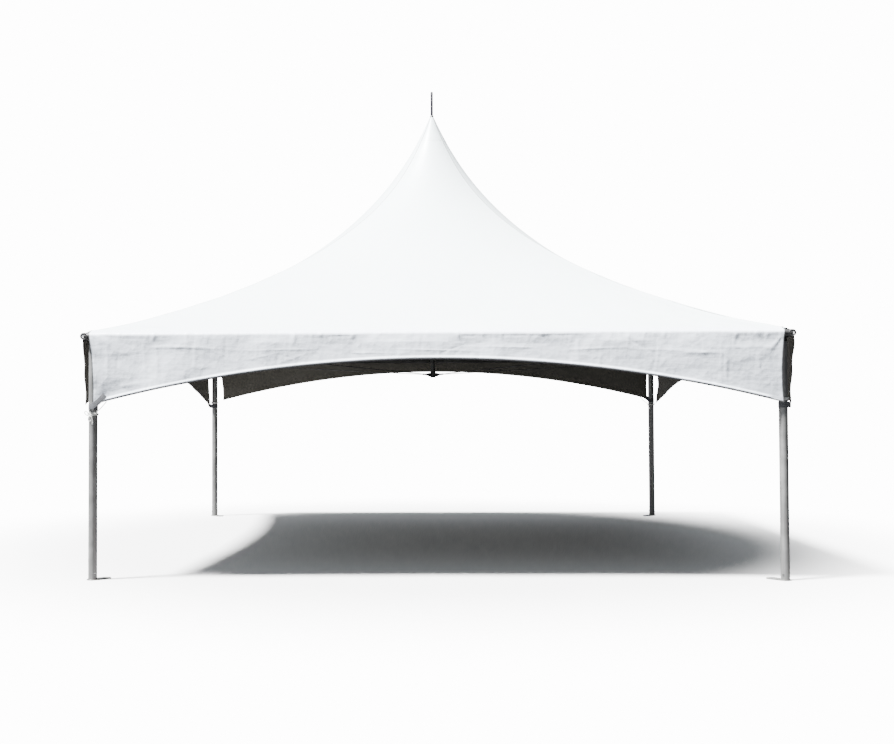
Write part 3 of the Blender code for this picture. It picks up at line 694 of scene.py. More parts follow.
# %% Woven and stranded finishes
RIB_PITCH = 0.0022
YARN_PITCH = 0.0016
FIBRE_PITCH = 0.0012
WIRE_PITCH = 0.004
PLUG_CAP_R = 0.015
PLUG_SHADE_FADE = 0.001


def webbing_finish():
    """Tone = 0.4 ribs along + 0.25 yarns across + 0.35 fading."""
    finish = Finish("webbing", roughness=0.82)
    across, along = finish.flat_cut()
    ribs = finish.wave(along * (math.tau / RIB_PITCH))
    yarns = finish.wave(across * (math.tau / YARN_PITCH))
    fade = finish.ease(finish.noise(30.0, 4.0), 0.35, 0.7)
    tone = ribs * 0.4 + yarns * 0.25 + fade * 0.35
    finish.use("Base Color", finish.mix(tone, paint(0.04, 0.04, 0.045), paint(0.10, 0.103, 0.113)))
    finish.relief(ribs * 0.0003 + yarns * 0.00015)
    return finish


def rope_finish():
    """Fine fibres that lean across the strands, and soiling in clouds."""
    finish = Finish("rope", roughness=0.75)
    across, along = finish.flat_cut()
    fibres = finish.wave(along * (math.tau / FIBRE_PITCH) + across * 30.0)
    soil = finish.ease(finish.noise(45.0, 5.0), 0.42, 0.72)
    finish.use("Base Color", finish.mix(soil * 0.6 + fibres * 0.2, paint(0.72, 0.72, 0.70),
                                        paint(0.44, 0.43, 0.40)))
    finish.relief(fibres * 0.0002 + soil * 0.0001)
    return finish


def wire_finish():
    """Single wires that wind round each strand, dulled in clouds."""
    finish = Finish("wire_rope", metallic=0.85)
    across, along = finish.flat_cut()
    wires = finish.wave(along * (math.tau / WIRE_PITCH) + across * 40.0)
    dull = finish.ease(finish.noise(35.0, 4.0), 0.35, 0.7)
    # Painted shade: the wire's greys are kept dark for the shade under the roof.
    finish.use("Base Color", finish.mix(wires * 0.4 + dull * 0.6, paint(0.09, 0.09, 0.094),
                                        paint(0.03, 0.03, 0.03)))
    finish.use("Roughness", 0.35 + dull * 0.25)
    finish.relief(wires * 0.0002)
    return finish


def plug_finish():
    """The profile's own length tells the cap from the lip round it."""
    finish = Finish("end_plug")
    speck = finish.ease(finish.noise(60.0, 4.0), 0.5, 0.75)
    cap = finish.mix(speck * 0.5, paint(0.90, 0.90, 0.89), paint(0.72, 0.72, 0.70))
    # Painted shade: the cap's outer ring and its lip go near-black, for the shadowed gap round the cap.
    lip = finish.ease(finish.flat_cut()[1], PLUG_CAP_R, PLUG_CAP_R + PLUG_SHADE_FADE)
    finish.use("Base Color", finish.mix(lip, cap, paint(0.02, 0.02, 0.02)))
    finish.relief(finish.noise(220.0, 2.0) * 0.0001)
    return finish


WEBBING, ROPE, WIRE, PLUG = webbing_finish(), rope_finish(), wire_finish(), plug_finish()
print("webbing of", len(WEBBING.tree.nodes), "nodes, rope of", len(ROPE.tree.nodes))

# %% [markdown]
# ## Roof
# The roof is four gores welded into one sheet. Near the mast a level section through it is round,
# and at the eaves it is square, so the section turns from one to the other on the way down and the
# hips grow sharper. Its height falls steeply beside the mast and eases towards the eaves, the curve
# that a sheet takes when it is pulled between a point and a square frame. Long soft ripples run
# out to the corners, where the pull is strongest. A cloth simulation could drape it. A sheet that is
# stretched this tight keeps one form, though, so a formula for its height is enough.

# %% Roof shape
EAVE_Z = 2.118
CONE_RISE = 0.7386
CONE_FADE = 0.472
SLOPE_RISE = 1.882
SLOPE_POWER = 1.195
PEAK_HOLE_R = 0.018
SQUARE_REACH = 2.980
ROOF_EDGE = 2.988
SHEET_T = 0.0012
GORE_COLUMNS = 96
SLOPE_ROWS = 90
EAVE_ROWS = 18
EAVE_BAND = 0.20
PUCKER_PITCH = 0.32
PUCKER_REACH = 2.91
PUCKER_SPREAD = 0.045
PUCKER_HEIGHT = 0.0028
PULL_PITCH = 0.17
PULL_FADE = 0.22
PULL_HEIGHT = 0.0026
HELD_FROM = 0.975
HELD_FADE = 0.022


def roof_height(reach):
    """Height = eave + rise e^(-reach / fade) + slope (1 - reach / half)^power."""
    share = np.clip(1.0 - reach / HALF, 0.0, 1.0)
    return EAVE_Z + CONE_RISE * np.exp(-reach / CONE_FADE) + SLOPE_RISE * share ** SLOPE_POWER


def waves(x, y, pitch, count, seed):
    """A sum of plane waves in all directions, each about `pitch` long; its usual size is 1."""
    rng = np.random.default_rng(seed)
    total = 0.0 * (x + y)
    for _ in range(count):
        heading, length, start = rng.uniform(0, math.tau), pitch * rng.uniform(0.7, 1.5), rng.uniform(0, 9)
        total = total + np.cos(math.tau * (x * math.cos(heading) + y * math.sin(heading)) / length + start)
    return total / math.sqrt(count / 2)


def gore_angles():
    """Column angles in one gore, closer together near the hips."""
    t = np.arange(GORE_COLUMNS) / GORE_COLUMNS * 2 - 1
    return np.sign(t) * (1 - (1 - np.abs(t)) ** 1.4) * math.pi / 4


def roof_section(reach, angle):
    """Sideways and outward place at `angle` from the gore's middle, round inside, square outside."""
    squareness = np.clip(reach / SQUARE_REACH, 0.0, 1.0)
    radius = reach / ((1 - squareness) + squareness * np.cos(angle))
    return radius * np.sin(angle), radius * np.cos(angle)


def around_mast(sideways, outward, turns):
    """The front gore looks towards -Y, and each next one is a quarter turn further round."""
    c, s = np.cos(turns * math.pi / 2), np.sin(turns * math.pi / 2)
    return sideways * c + outward * s, sideways * s - outward * c


def reach_at(x, y):
    """The section that a place lies on: distance / (1 + (distance - outward) / square reach)."""
    distance, outward = np.hypot(x, y), np.maximum(np.abs(x), np.abs(y))
    return distance / (1 + (distance - outward) / SQUARE_REACH)


def roof_ripples(x, y):
    """Ripples along the pull to each corner, a slight billow between the hips, and puckers that
    stand up behind the eaves."""
    reach = reach_at(x, y)
    share = reach / ROOF_EDGE
    along = np.where(np.abs(x) < np.abs(y), x, y)
    behind_eave = np.exp(-((reach - PUCKER_REACH) / PUCKER_SPREAD) ** 2)
    puckers = np.maximum(waves(along, 0 * along, PUCKER_PITCH, 8, 21), 0.0) * behind_eave
    to_corner = np.abs(np.abs(x) - np.abs(y)) / math.sqrt(2)
    pull = np.cos(to_corner * math.tau / PULL_PITCH) * np.exp(-to_corner / PULL_FADE)
    held = 1 - np.clip((share - HELD_FROM) / HELD_FADE, 0, 1)
    loose = pull * PULL_HEIGHT + waves(x, y, 1.3, 7, 5) * 0.0032 + waves(x, y, 0.42, 9, 11) * 0.0011
    return (loose * share ** 2 + puckers * PUCKER_HEIGHT) * held


def roof_point(x, y, lift=0.0):
    """A point of the rippled sheet, lifted square to it; the slopes come from small steps."""
    step = 1e-4
    slope_x = (roof_height(reach_at(x + step, y)) - roof_height(reach_at(x - step, y))) / (2 * step)
    slope_y = (roof_height(reach_at(x, y + step)) - roof_height(reach_at(x, y - step))) / (2 * step)
    square = unit(np.stack([-slope_x, -slope_y, np.ones_like(slope_x)], -1))
    base = np.stack([x, y, roof_height(reach_at(x, y))], -1)
    return base + square * (roof_ripples(x, y) + lift)[..., None]


def roof_grid():
    """Rows from the peak's hole to the eave, the last ones closer; columns all round the mast."""
    slope = (ROOF_EDGE - EAVE_BAND - PEAK_HOLE_R) * (np.arange(SLOPE_ROWS) / SLOPE_ROWS) ** 1.5
    reach = np.append(PEAK_HOLE_R + slope, np.linspace(ROOF_EDGE - EAVE_BAND, ROOF_EDGE, EAVE_ROWS))
    turns = np.repeat(np.arange(4), GORE_COLUMNS)[None]
    sideways, outward = roof_section(reach[:, None], np.tile(gore_angles(), 4)[None])
    return *around_mast(sideways, outward, turns), reach


roof_x, roof_y, roof_reach = roof_grid()
slope_length = lengths_along(np.stack([roof_reach, roof_height(roof_reach)], -1))
eave_length = np.linspace(0.0, 8 * ROOF_EDGE, 4 * GORE_COLUMNS + 1)
roof_skin = sheet_skin(roof_point(roof_x, roof_y), roof_point(roof_x, roof_y, -SHEET_T), eave_length[None],
                       slope_length[:, None], wrap=True)
roof_sheet = make_piece("roof_sheet", [roof_skin], ROOF_VINYL,
                        [f"roof_{side}" for side in SIDES], sharp=25.0)
roof_area = flat_area(roof_skin)
print("roof sheet", PIECES["roof_sheet"], "triangles,", round(roof_area, 2), "square metres of vinyl")

# %% [markdown]
# The gores lap over each other on the hips by 40 mm and are welded there, and a round patch doubles
# the vinyl where the mast pushes. Both could be drawn in the finish alone, but their thickness
# catches the light. They are the same sheet laid on the roof: a thin band follows each hip with a
# shallow V for its section, and the patch repeats the roof's own formula near the peak.

# %% Hip welds and peak patch
HIP_BAND = 0.040
HIP_ROWS = 110
HIP_COLUMNS = 9
LAP_T = 0.0011
UNDERSIDE = 0.0001
BAND_EDGE_T = 0.0002
PATCH_EDGE_T = 0.0003
PATCH_IN = 0.0245
PATCH_OUT = 0.165
PATCH_BEVEL = 0.004
PATCH_COLUMNS = 96


def hip_band():
    """Carried down the front-left hip: across it, step goes from -1 to 1 over the two gores."""
    start = PATCH_OUT * 0.9
    reach = start + (ROOF_EDGE - 0.004 - start) * np.linspace(0, 1, HIP_ROWS)[:, None] ** 1.2
    step = np.linspace(-1.0, 1.0, HIP_COLUMNS)[None]
    sideways, _ = roof_section(reach, -math.pi / 4)
    on_front = sideways + np.maximum(-step, 0.0) * HIP_BAND / 2
    on_left = sideways + np.maximum(step, 0.0) * HIP_BAND / 2
    lift = BAND_EDGE_T + LAP_T * (1 - step ** 8) + 0 * sideways
    top = roof_point(on_front, on_left, lift)
    return sheet_skin(top, roof_point(on_front, on_left, UNDERSIDE), step * HIP_BAND / 2,
                      lengths_along(top[:, HIP_COLUMNS // 2])[:, None])


def peak_patch():
    """A ring of the roof itself, lifted by the lap's thickness, with a bevel at its outer edge."""
    reach = np.linspace(PATCH_IN, PATCH_OUT, 16)[:, None]
    angle = np.arange(PATCH_COLUMNS)[None] / PATCH_COLUMNS * math.tau
    x, y = reach * np.sin(angle), -reach * np.cos(angle)
    lift = PATCH_EDGE_T + LAP_T * np.clip((PATCH_OUT - reach) / PATCH_BEVEL, 0.3, 1.0)
    cut = np.linspace(0, math.tau * PATCH_OUT, PATCH_COLUMNS + 1)[None]
    return sheet_skin(roof_point(x, y, lift), roof_point(x, y, UNDERSIDE), cut, reach, wrap=True)


hip_skin = hip_band()
hip_welds = [make_piece(f"hip_weld_{corner}", [quarter(hip_skin, k)], ROOF_VINYL)
             for k, corner in enumerate(CORNERS)]
patch = make_piece("peak_patch", [peak_patch()], ROOF_VINYL)
print("hip welds", HIP_BAND, "m wide; peak patch", PATCH_OUT * 2, "m across")

# %% [markdown]
# ## Valances
# The valance goes on from the roof: it rolls over the rail and hangs to a rope hem cut in a wide
# arch, deep at the corners. Hanging vinyl shows how it was stored, so there are straight packing
# folds and crumpled patches between them. It puckers where it is welded at the eave and where the
# hem rope gathers it, and folds fan out from the corners where it is tied. Sculpting or a cloth
# simulation could make such folds, each at a place of its own choosing. Here a crease is a crest that
# is sharp across its line and fades along it, put where the sheet has it; all of them add up to
# one height, square to the sheet.

# %% Creases
CREASED_HALF = 2.93


def crease(x, fall, at_x, at_fall, turn, length, width, height):
    """Height e^(-|across| / width) e^(-(along / length)^2), with the line at `turn` degrees."""
    c, s = math.cos(math.radians(turn)), math.sin(math.radians(turn))
    along = (x - at_x) * c + (fall - at_fall) * s
    across = (fall - at_fall) * c - (x - at_x) * s
    return height * np.exp(-np.abs(across) / width - (along / length) ** 2)


def scatter(x, fall, rng, count, at_fall, turn, length, width, height):
    """Many creases at random places; each range is (lowest, highest)."""
    total = 0.0 * (x + fall)
    for _ in range(count):
        spans = ((-CREASED_HALF, CREASED_HALF), at_fall, turn, length, width, height)
        pick = [rng.uniform(*span) for span in spans]
        total = total + crease(x, fall, *pick) * rng.choice([-1.0, 1.0])
    return total


# Across, below the rail, turn in degrees, half length, width and height of the front's main creases.
FRONT_CREASES = (
    (2.264, 0.165, 0, 0.17, 0.009, 0.0040), (2.456, 0.290, 90, 0.11, 0.009, 0.0040),
    (2.520, 0.045, 90, 0.05, 0.012, 0.0050), (2.736, 0.280, 78, 0.07, 0.011, 0.0045),
    (2.677, 0.330, 108, 0.06, 0.010, -0.0035), (2.898, 0.050, 124, 0.06, 0.010, 0.0080),
    (2.893, 0.170, 84, 0.06, 0.008, 0.0050), (2.795, 0.430, 150, 0.08, 0.010, 0.0040),
    (-2.255, 0.098, 0, 0.20, 0.010, 0.0040), (-2.810, 0.210, 90, 0.15, 0.012, 0.0045),
    (-2.725, 0.260, 92, 0.10, 0.009, -0.0035), (-2.380, 0.220, 88, 0.11, 0.010, 0.0040),
    (-2.052, 0.200, 90, 0.09, 0.010, 0.0035), (-2.617, 0.420, 170, 0.14, 0.010, 0.0035))
# How many, then the ranges of the place down or up, turn, half length, width and height.
SMALL_CREASES = ((46, (0.03, 0.50), (65, 115), (0.04, 0.14), (0.007, 0.020), (0.0008, 0.0026)),
                 (26, (0.05, 0.50), (-25, 25), (0.05, 0.20), (0.008, 0.020), (0.0008, 0.0022)),
                 (26, (0.05, 0.50), (25, 155), (0.04, 0.12), (0.008, 0.018), (0.0008, 0.0024)))
EAVE_PUCKERS = (64, (-0.02, 0.03), (72, 108), (0.03, 0.07), (0.008, 0.016), (0.0020, 0.0052))
HEM_GATHERS = (90, (0.02, 0.06), (60, 120), (0.02, 0.05), (0.006, 0.011), (0.0008, 0.0024))
FOLD_PITCH = 0.61
FOLD_LENGTH = 0.30
FOLD_HEIGHT = 0.0022
CREASES_BEGIN = 0.06


def creasing(x, fall, climb, seed, own_creases):
    """How far the sheet stands out: x across, fall below the rail, climb above the hem.

    Soft waves, packing folds both ways, small creases and the side's own ones add up and fade out
    at the rail; the puckers at the eave and the gathers at the hem come on top.
    """
    rng = np.random.default_rng(seed)
    total = waves(x, fall * 0.7, 0.9, 7, seed + 3) * 0.0045 + waves(x, fall, 0.34, 9, seed + 4) * 0.0020
    for k in range(-4, 5):
        place = k * FOLD_PITCH + rng.uniform(-0.06, 0.06)
        total = total + crease(x, fall, place, 0.2, rng.uniform(84, 96), FOLD_LENGTH, 0.009,
                               FOLD_HEIGHT * (-1) ** k)
    for start in np.arange(-2.6, 2.7, 0.65):
        total = total + crease(x, fall, start, 0.13 + rng.uniform(-0.02, 0.03), rng.uniform(-3, 3),
                               FOLD_LENGTH, 0.010, FOLD_HEIGHT)
    for kind in SMALL_CREASES:
        total = total + scatter(x, fall, rng, *kind)
    for own in own_creases:
        total = total + crease(x, fall, *own)
    puckers = np.abs(scatter(x, fall, rng, *EAVE_PUCKERS))
    gathers = scatter(x, climb, rng, *HEM_GATHERS)
    return total * np.clip(fall / CREASES_BEGIN, 0.0, 1.0) + puckers + gathers


def fan(x, z, at_x, at_z, folds, reach, start):
    """Folds that spread from one point: a wave of the angle, dying away with distance."""
    distance = np.hypot(x - at_x, z - at_z)
    angle = np.arctan2(z - at_z, x - at_x)
    wave = np.cos(folds * angle + start + 1.5 * np.sin(3 * angle))
    return wave * np.exp(-distance / reach) * (1 - np.exp(-(distance / 0.11) ** 2))


print("creases on each valance:", sum(kind[0] for kind in SMALL_CREASES), "small ones,",
      EAVE_PUCKERS[0], "puckers and", HEM_GATHERS[0], "gathers")

# %% Valance shape
TOP_HALF = 2.965
LOW_HALF = 2.945
MID_Z = 1.881
CORNER_Z = 1.505
ARCH_POWER = 2.0
CORNER_LEAN = 0.030
LEAN_START = 0.25
LEAN_POWER = 6
VALANCE_COLUMNS = 480
HANGING_ROWS = 36
LAP_ROWS = 5
ARC_ROWS = 9
LAP_IN = 2.955
LAP_LIFT = 0.0003
EAVE_SLOPE_AT = (3.0, 3.02)
HEM_ROWS = np.array([0.056, 0.042, 0.038, 0.034, 0.028, 0.022, 0.017, 0.012, 0.008, 0.005, 0.002, 0.0])
HEM_ROPE = 0.0085
HEM_ROPE_CLIMB = 0.0190
HEM_ROPE_WIDTH = 0.0085
HEM_ROPE_OUTWARD = 0.85
ROPE_LEAVES = 2.80
DOUBLED_T = 0.0007
END_HEM = 0.004
SIDE_SAG = 0.016
LOW_FAN_X, LOW_FAN_HEIGHT = 2.95, 0.0045
EAVE_FAN_X, EAVE_FAN_HEIGHT = 2.96, 0.0035
CURL_WIDTH, CURL_PITCH, CURL_HEIGHT = 0.035, 0.26, 0.0035
ROOM_AT_RAIL, ROOM_BELOW = 0.0012, 0.003


def low_edge(share):
    """Height of the hem: it falls with share^power from the middle (0) to the corner (1)."""
    return MID_Z - (MID_Z - CORNER_Z) * np.abs(share) ** ARCH_POWER


def valance_profile(low):
    """Rows from the lap on the roof to the hem: place out, height, tilt and freedom to crease.

    The lap lies on the roof, a round stretch goes over the rail from the roof's slope to upright,
    and the rest hangs.
    """
    radius = HALF - RAIL_OUT
    near, far = EAVE_SLOPE_AT
    steep = (roof_height(near) - roof_height(far)) / (far - near)
    meet = math.atan2(1.0, steep)
    lap_out = np.linspace(LAP_IN, RAIL_OUT + radius * math.cos(meet), LAP_ROWS + 1)[:-1]
    arc = np.linspace(meet, 0.0, ARC_ROWS)
    share = np.linspace(1.0, 0.0, HANGING_ROWS + 2)[1:-1, None]
    climb = np.concatenate([HEM_ROWS[0] + share * (RAIL_Z - low - HEM_ROWS[0]),
                            HEM_ROWS[:, None] + 0 * low])
    rows = [lap_out, RAIL_OUT + radius * np.cos(arc), np.full(len(climb), HALF)]
    out = np.concatenate(rows)[:, None] + 0 * low
    over = np.concatenate([roof_height(lap_out) + LAP_T + LAP_LIFT, RAIL_Z + radius * np.sin(arc)])
    z = np.concatenate([over[:, None] + 0 * low, low + climb])
    tilt = np.concatenate([np.full(LAP_ROWS, meet), arc, np.zeros(len(climb))])[:, None]
    free = np.concatenate([np.zeros(LAP_ROWS), np.linspace(0, 1, ARC_ROWS) ** 0.5, np.ones(len(climb))])
    return out, z, tilt, free[:, None]


def valance_skin(seed, rise, eave_shift, hem_shift, hem_half, own_creases):
    """One valance in the front's place, with its hem lifted by `rise` and its edges moved sideways.

    A point stands out by the creases, the fans at the corners and the curl of the free ends, never
    further in than its room to the rail, and by the doubled hem and the rope in it.
    """
    across = np.linspace(-1.0, 1.0, VALANCE_COLUMNS)[None]
    low = low_edge(across) + rise
    out, z, tilt, free = valance_profile(low)
    down = np.clip((EAVE_Z - z) / (EAVE_Z - low), 0, 1)
    drawn_in = down ** 0.6
    half = TOP_HALF + (hem_half - TOP_HALF) * drawn_in - SIDE_SAG * 4 * down * (1 - down)
    x = across * half + eave_shift * (1 - down) + hem_shift * drawn_in
    below_rail = np.clip((down - LEAN_START) / (1 - LEAN_START), 0, 1)
    out = out - CORNER_LEAN * below_rail * np.abs(across) ** LEAN_POWER
    climb = z - low
    from_end = half * (1 - np.abs(across))
    edge = np.minimum(climb, from_end + END_HEM)
    filled = np.clip((ROPE_LEAVES - np.abs(x)) / 0.05 + 1, 0, 1)
    rope = HEM_ROPE * filled * np.exp(-((climb - HEM_ROPE_CLIMB) / HEM_ROPE_WIDTH) ** 2)
    doubled = DOUBLED_T * (edge < HEM_FOLD)
    stand = creasing(x, RAIL_Z - z, climb, seed, own_creases)
    for k, side in enumerate((-1, 1)):
        low_fan = fan(x, z, side * LOW_FAN_X, CORNER_Z + rise, 9, 0.26, seed + k)
        eave_fan = fan(x, z, side * EAVE_FAN_X, EAVE_Z, 8, 0.20, seed + 2 + k)
        stand = stand + LOW_FAN_HEIGHT * low_fan + EAVE_FAN_HEIGHT * eave_fan
    curl = np.exp(-from_end / CURL_WIDTH) * CURL_HEIGHT * np.sin(z * math.tau / CURL_PITCH + seed)
    room = ROOM_AT_RAIL + ROOM_BELOW * np.clip((RAIL_Z - RAIL_R - z) / 0.05, 0, 1)
    stand = np.maximum((stand + curl) * free, -room) + doubled + rope * HEM_ROPE_OUTWARD
    direction = np.stack([0 * out, 0 * out - np.cos(tilt), 0 * out + np.sin(tilt)], -1)
    outer = np.stack([x, -out, z], -1) + direction * stand[..., None]
    steps = np.hypot(np.diff(out, axis=0), np.diff(z, axis=0))
    depth = np.concatenate([0 * steps[:1], np.cumsum(steps, axis=0)])
    inner = outer - direction * (SHEET_T + rope + doubled)[..., None]
    return sheet_skin(outer, inner, x, depth, edge=edge), depth.max()


print("the hem falls", round(low_edge(0.0) - low_edge(1.0), 3), "m from its middle to its ends")

# %% Four valances
VALANCE_SEEDS = {"front": 3, "right": 41, "back": 87, "left": 129}
EAVE_SHIFT = {"front": -0.011}
HEM_SHIFT = {"back": -0.032}
HEM_HALF = {"back": 2.882}
HEM_RISE = {"back": box_of("valance_back")[0][2] - box_of("valance_front")[0][2]}
for k, side in enumerate(SIDES):
    made, depth = valance_skin(VALANCE_SEEDS[side], HEM_RISE.get(side, 0.0), EAVE_SHIFT.get(side, 0.0),
                               HEM_SHIFT.get(side, 0.0), HEM_HALF.get(side, LOW_HALF),
                               FRONT_CREASES if side == "front" else ())
    valance = make_piece(f"valance_sheet_{side}", [quarter(made, k)], VALANCE_VINYL,
                         [f"valance_{side}"], sharp=50.0)
    flat_area(made)
    print(side, "valance", PIECES[valance.name], "triangles, cut", round(depth, 3), "m deep,",
          round(flat_area(made), 2), "square metres")

# %% [markdown]
# ## Legs and rails
# All the tubes are turned: the profile is the tube's wall, with a small radius on its cut ends. A
# plain cylinder would do for the outside, but the open ends show the wall and the bore. The left
# half of each rail ends in a swaged spigot that enters the right half, and a hairline joint shows
# between them. Their sizes are read from the frame, so each fits the node that it stands for.

# %% Tubes
TUBE_WALL = 0.003
PLAY = 0.0005
SPIGOT = 0.150
SWAGE_TAPER = 0.02
RAIL_SLEEVE_R = RAIL_R - TUBE_WALL - PLAY
LEG_SLEEVE_R = LEG_R - TUBE_WALL - PLAY
LEG_CORNER = np.array([-LEG_OUT, -LEG_OUT, 0.0])
DIAGONAL = np.array([1.0, 1.0, 0.0]) / math.sqrt(2)
ACROSS = np.array([-1.0, 1.0, 0.0]) / math.sqrt(2)
UP = np.array([0.0, 0.0, 1.0])

leg = placed(turn(pipe(LEG_R, TUBE_WALL, leg_low[2], leg_high[2]), loop=True), LEG_CORNER, UP)
for k, corner in enumerate(CORNERS):
    make_piece(f"leg_tube_{corner}", [quarter(leg, k)], TUBE_UPRIGHT, [f"leg_{corner}"])

joint, end = rail_low[0], rail_high[0]
plain_rail = turn(pipe(RAIL_R, TUBE_WALL, joint, end), loop=True)
swaged_rail = turn([(RAIL_R, -joint - RIM), (RAIL_R, -end + RIM), (RAIL_R - RIM, -end),
                    (RAIL_R - TUBE_WALL, -end), (RAIL_R - TUBE_WALL, -SWAGE_TAPER),
                    (RAIL_SLEEVE_R - TUBE_WALL, 0.0), (RAIL_SLEEVE_R - TUBE_WALL, SPIGOT),
                    (RAIL_SLEEVE_R, SPIGOT), (RAIL_SLEEVE_R, -joint), (RAIL_R - RIM, -joint)], loop=True)
# Each side's swaged half and plain half.
RAIL_HALVES = (("front_rail_left", "front_rail_right"), ("right_rail_front", "right_rail_back"),
               ("back_rail_right", "back_rail_left"), ("left_rail_back", "left_rail_front"))
for k, names in enumerate(RAIL_HALVES):
    for name, made in zip(names, (swaged_rail, plain_rail)):
        laid = placed(made, (0.0, -RAIL_OUT, RAIL_Z), (1.0, 0.0, 0.0))
        make_piece(f"{name}_tube", [quarter(laid, k)], (TUBE_ALONG_X, TUBE_ALONG_Y)[k % 2],
                   [name])
print("leg and rail radius", round(LEG_R, 4), round(RAIL_R, 4))

# %% [markdown]
# ## Lugs
# Each stay is pinned to a lug at the corner and to one on the mast's foot. A lug is a plate with a
# round nose, and only the part near its hole shows. It is made about the hole, which is the place
# that has to be right, and its square root simply runs into the tube that carries it.

# %% Lugs
LUG_T = 0.008
LUG_NOSE_R = 0.020
LUG_HOLE_R = 0.0055
LUG_BEVEL = 0.0008
CORNER_EYE = 0.074
CORNER_EYE_DROP = 0.040
FOOT_EYE = 0.062
FOOT_HEIGHT = 0.064

foot_z = box_of("mast_foot")[0][2]
corner_eye = LEG_CORNER + DIAGONAL * CORNER_EYE + UP * (RAIL_Z - CORNER_EYE_DROP)
foot_eye = -DIAGONAL * FOOT_EYE + UP * (foot_z + FOOT_HEIGHT / 2)


def lug_outline(eye):
    """A round nose before the hole, straight sides behind it, and a square root at -eye."""
    def distance(around):
        c, s = np.cos(around), np.sin(around)
        straight = np.minimum(LUG_NOSE_R / np.maximum(np.abs(s), 1e-6), eye / np.maximum(-c, 1e-6))
        return np.where(c >= 0, LUG_NOSE_R, straight)
    return distance


def lug(eye_at, direction, eye):
    """An upright plate whose nose points along `direction`."""
    made = holed_plate(lug_outline(eye), LUG_HOLE_R, LUG_T, LUG_BEVEL)
    across = np.array([-direction[1], direction[0], 0.0])
    up = np.cross(across, direction)
    return made._replace(points=made.points @ np.stack([direction, up, across]) + eye_at)


print("a stay's pins are", round(float(np.linalg.norm(foot_eye - corner_eye)), 3), "m apart")

# %% [markdown]
# ## Mast
# The mast floats on the stays. Its foot is a cup with four lugs, its head is a cone that fills the
# roof's peak from below, and a thin spike comes out through a ring on top, with a sleeve pushed over
# it. Stock cylinders and cones could be put together for it. Turned profiles keep the whole mast on
# one axis, and the cone's profile is the roof's own curve, so the sheet lies on it everywhere.

# %% Mast
MAST_R = 0.024
FOOT_CUP_R = 0.030
FOOT_FLOOR = 0.012
SPIKE_R = 0.0125
SPIKE_SLEEVE_R = 0.0144
SPIKE_SLEEVE_LIFT = 0.018
HEAD_R = 0.070
HEAD_EDGE = 0.008
HEAD_NECK = 0.10
PACKED_SHEET_T = 0.003
RING_HEIGHT = 0.016
GAP = 0.0003

mast_low, mast_top = (corner[2] for corner in box_of("mast_tube")[:2])
spike_low, spike_high = (corner[2] for corner in box_of("mast_spike")[:2])
ring_low = box_of("peak_ring")[0][2]
mast_bore = MAST_R + PLAY
spike_bore = SPIKE_R + PLAY


def foot_cup():
    """A cup with a floor, bevelled at its rim and its lower edge, and four lugs round it."""
    floor, top = foot_z + FOOT_FLOOR, foot_z + FOOT_HEIGHT
    cup = turn([(0.0, floor), (mast_bore, floor), (mast_bore, top - 0.001), (mast_bore + 0.001, top),
                (FOOT_CUP_R - 0.001, top), (FOOT_CUP_R, top - 0.001), (FOOT_CUP_R, foot_z + 0.002),
                (FOOT_CUP_R - 0.002, foot_z), (0.0, foot_z)])
    one = lug(foot_eye, -DIAGONAL, FOOT_EYE - (mast_bore + FOOT_CUP_R) / 2)
    return [cup, *(quarter(one, k) for k in range(4))]


def head_cone():
    """The roof's curve, lowered square to it by the sheet's thickness; a neck enters the mast."""
    reach = np.linspace(PEAK_HOLE_R, HEAD_R, 12)
    steep = np.gradient(roof_height(reach), reach)
    cone = np.stack([reach - GAP, roof_height(reach) - PACKED_SHEET_T * np.hypot(1, steep) - GAP], -1)
    low, edge = spike_low - GAP, cone[-1][1] - HEAD_EDGE
    neck = MAST_R - TUBE_WALL - PLAY
    return turn([(0.0, low), (spike_bore, low), (spike_bore, cone[0][1]), *cone, (HEAD_R - GAP, edge),
                 (HEAD_R - 0.002, edge - 0.002), (MAST_R, mast_top + GAP), (neck, mast_top + GAP),
                 (neck, mast_top - HEAD_NECK), (0.0, mast_top - HEAD_NECK)])


def spike():
    """A rod and the sleeve on it, whose tip is a quarter round: R sin a out, R (1 - cos a) down."""
    tip = np.radians(np.linspace(0, 90, 9))
    dome = np.stack([SPIKE_SLEEVE_R * np.sin(tip), spike_high - SPIKE_SLEEVE_R * (1 - np.cos(tip))], -1)
    shoulder = ring_low + SPIKE_SLEEVE_LIFT
    return turn([*dome, (SPIKE_SLEEVE_R, shoulder + 0.001), (SPIKE_R, shoulder), (SPIKE_R, spike_low),
                 (0.0, spike_low)], 32)


def spike_ring():
    """A collar with a sloping side that sits on the edge of the roof's hole."""
    top = ring_low + RING_HEIGHT
    return turn([(SPIKE_R + 0.003, top), (SPIKE_R + 0.0045, top - 0.001),
                 (PEAK_HOLE_R + 0.004, ring_low + 0.001), (PEAK_HOLE_R + 0.003, ring_low),
                 (spike_bore, ring_low), (spike_bore, top)], 40, loop=True)


pole = turn(pipe(MAST_R, TUBE_WALL, mast_low, mast_top), loop=True)
make_piece("mast_foot_cup", foot_cup(), FITTING_STEEL, ["mast_foot"])
make_piece("mast_pole", [pole], MAST_METAL, ["mast_tube"])
make_piece("mast_head_cone", [head_cone()], FITTING_STEEL, ["mast_head"])
make_piece("spike", [spike()], SPIKE_METAL, ["mast_spike"])
make_piece("ring", [spike_ring()], FITTING_STEEL, ["peak_ring"])
print("mast from", round(foot_z, 3), "to", round(spike_high, 3))

# %% [markdown]
# ## Welds
# A weld bead runs wherever two tubes of a fitting meet. A boolean could merge the tubes into one
# skin. They are left to overlap instead, and the bead hides the line, as it does on the real
# fitting. It is a small round section carried along the curve where two cylinders cross, swelling
# and thinning as the torch moved.

# %% Weld beads
BEAD_SIDES = 10
BEAD_RIPPLE = 0.006
BEAD_SWELL = 0.18


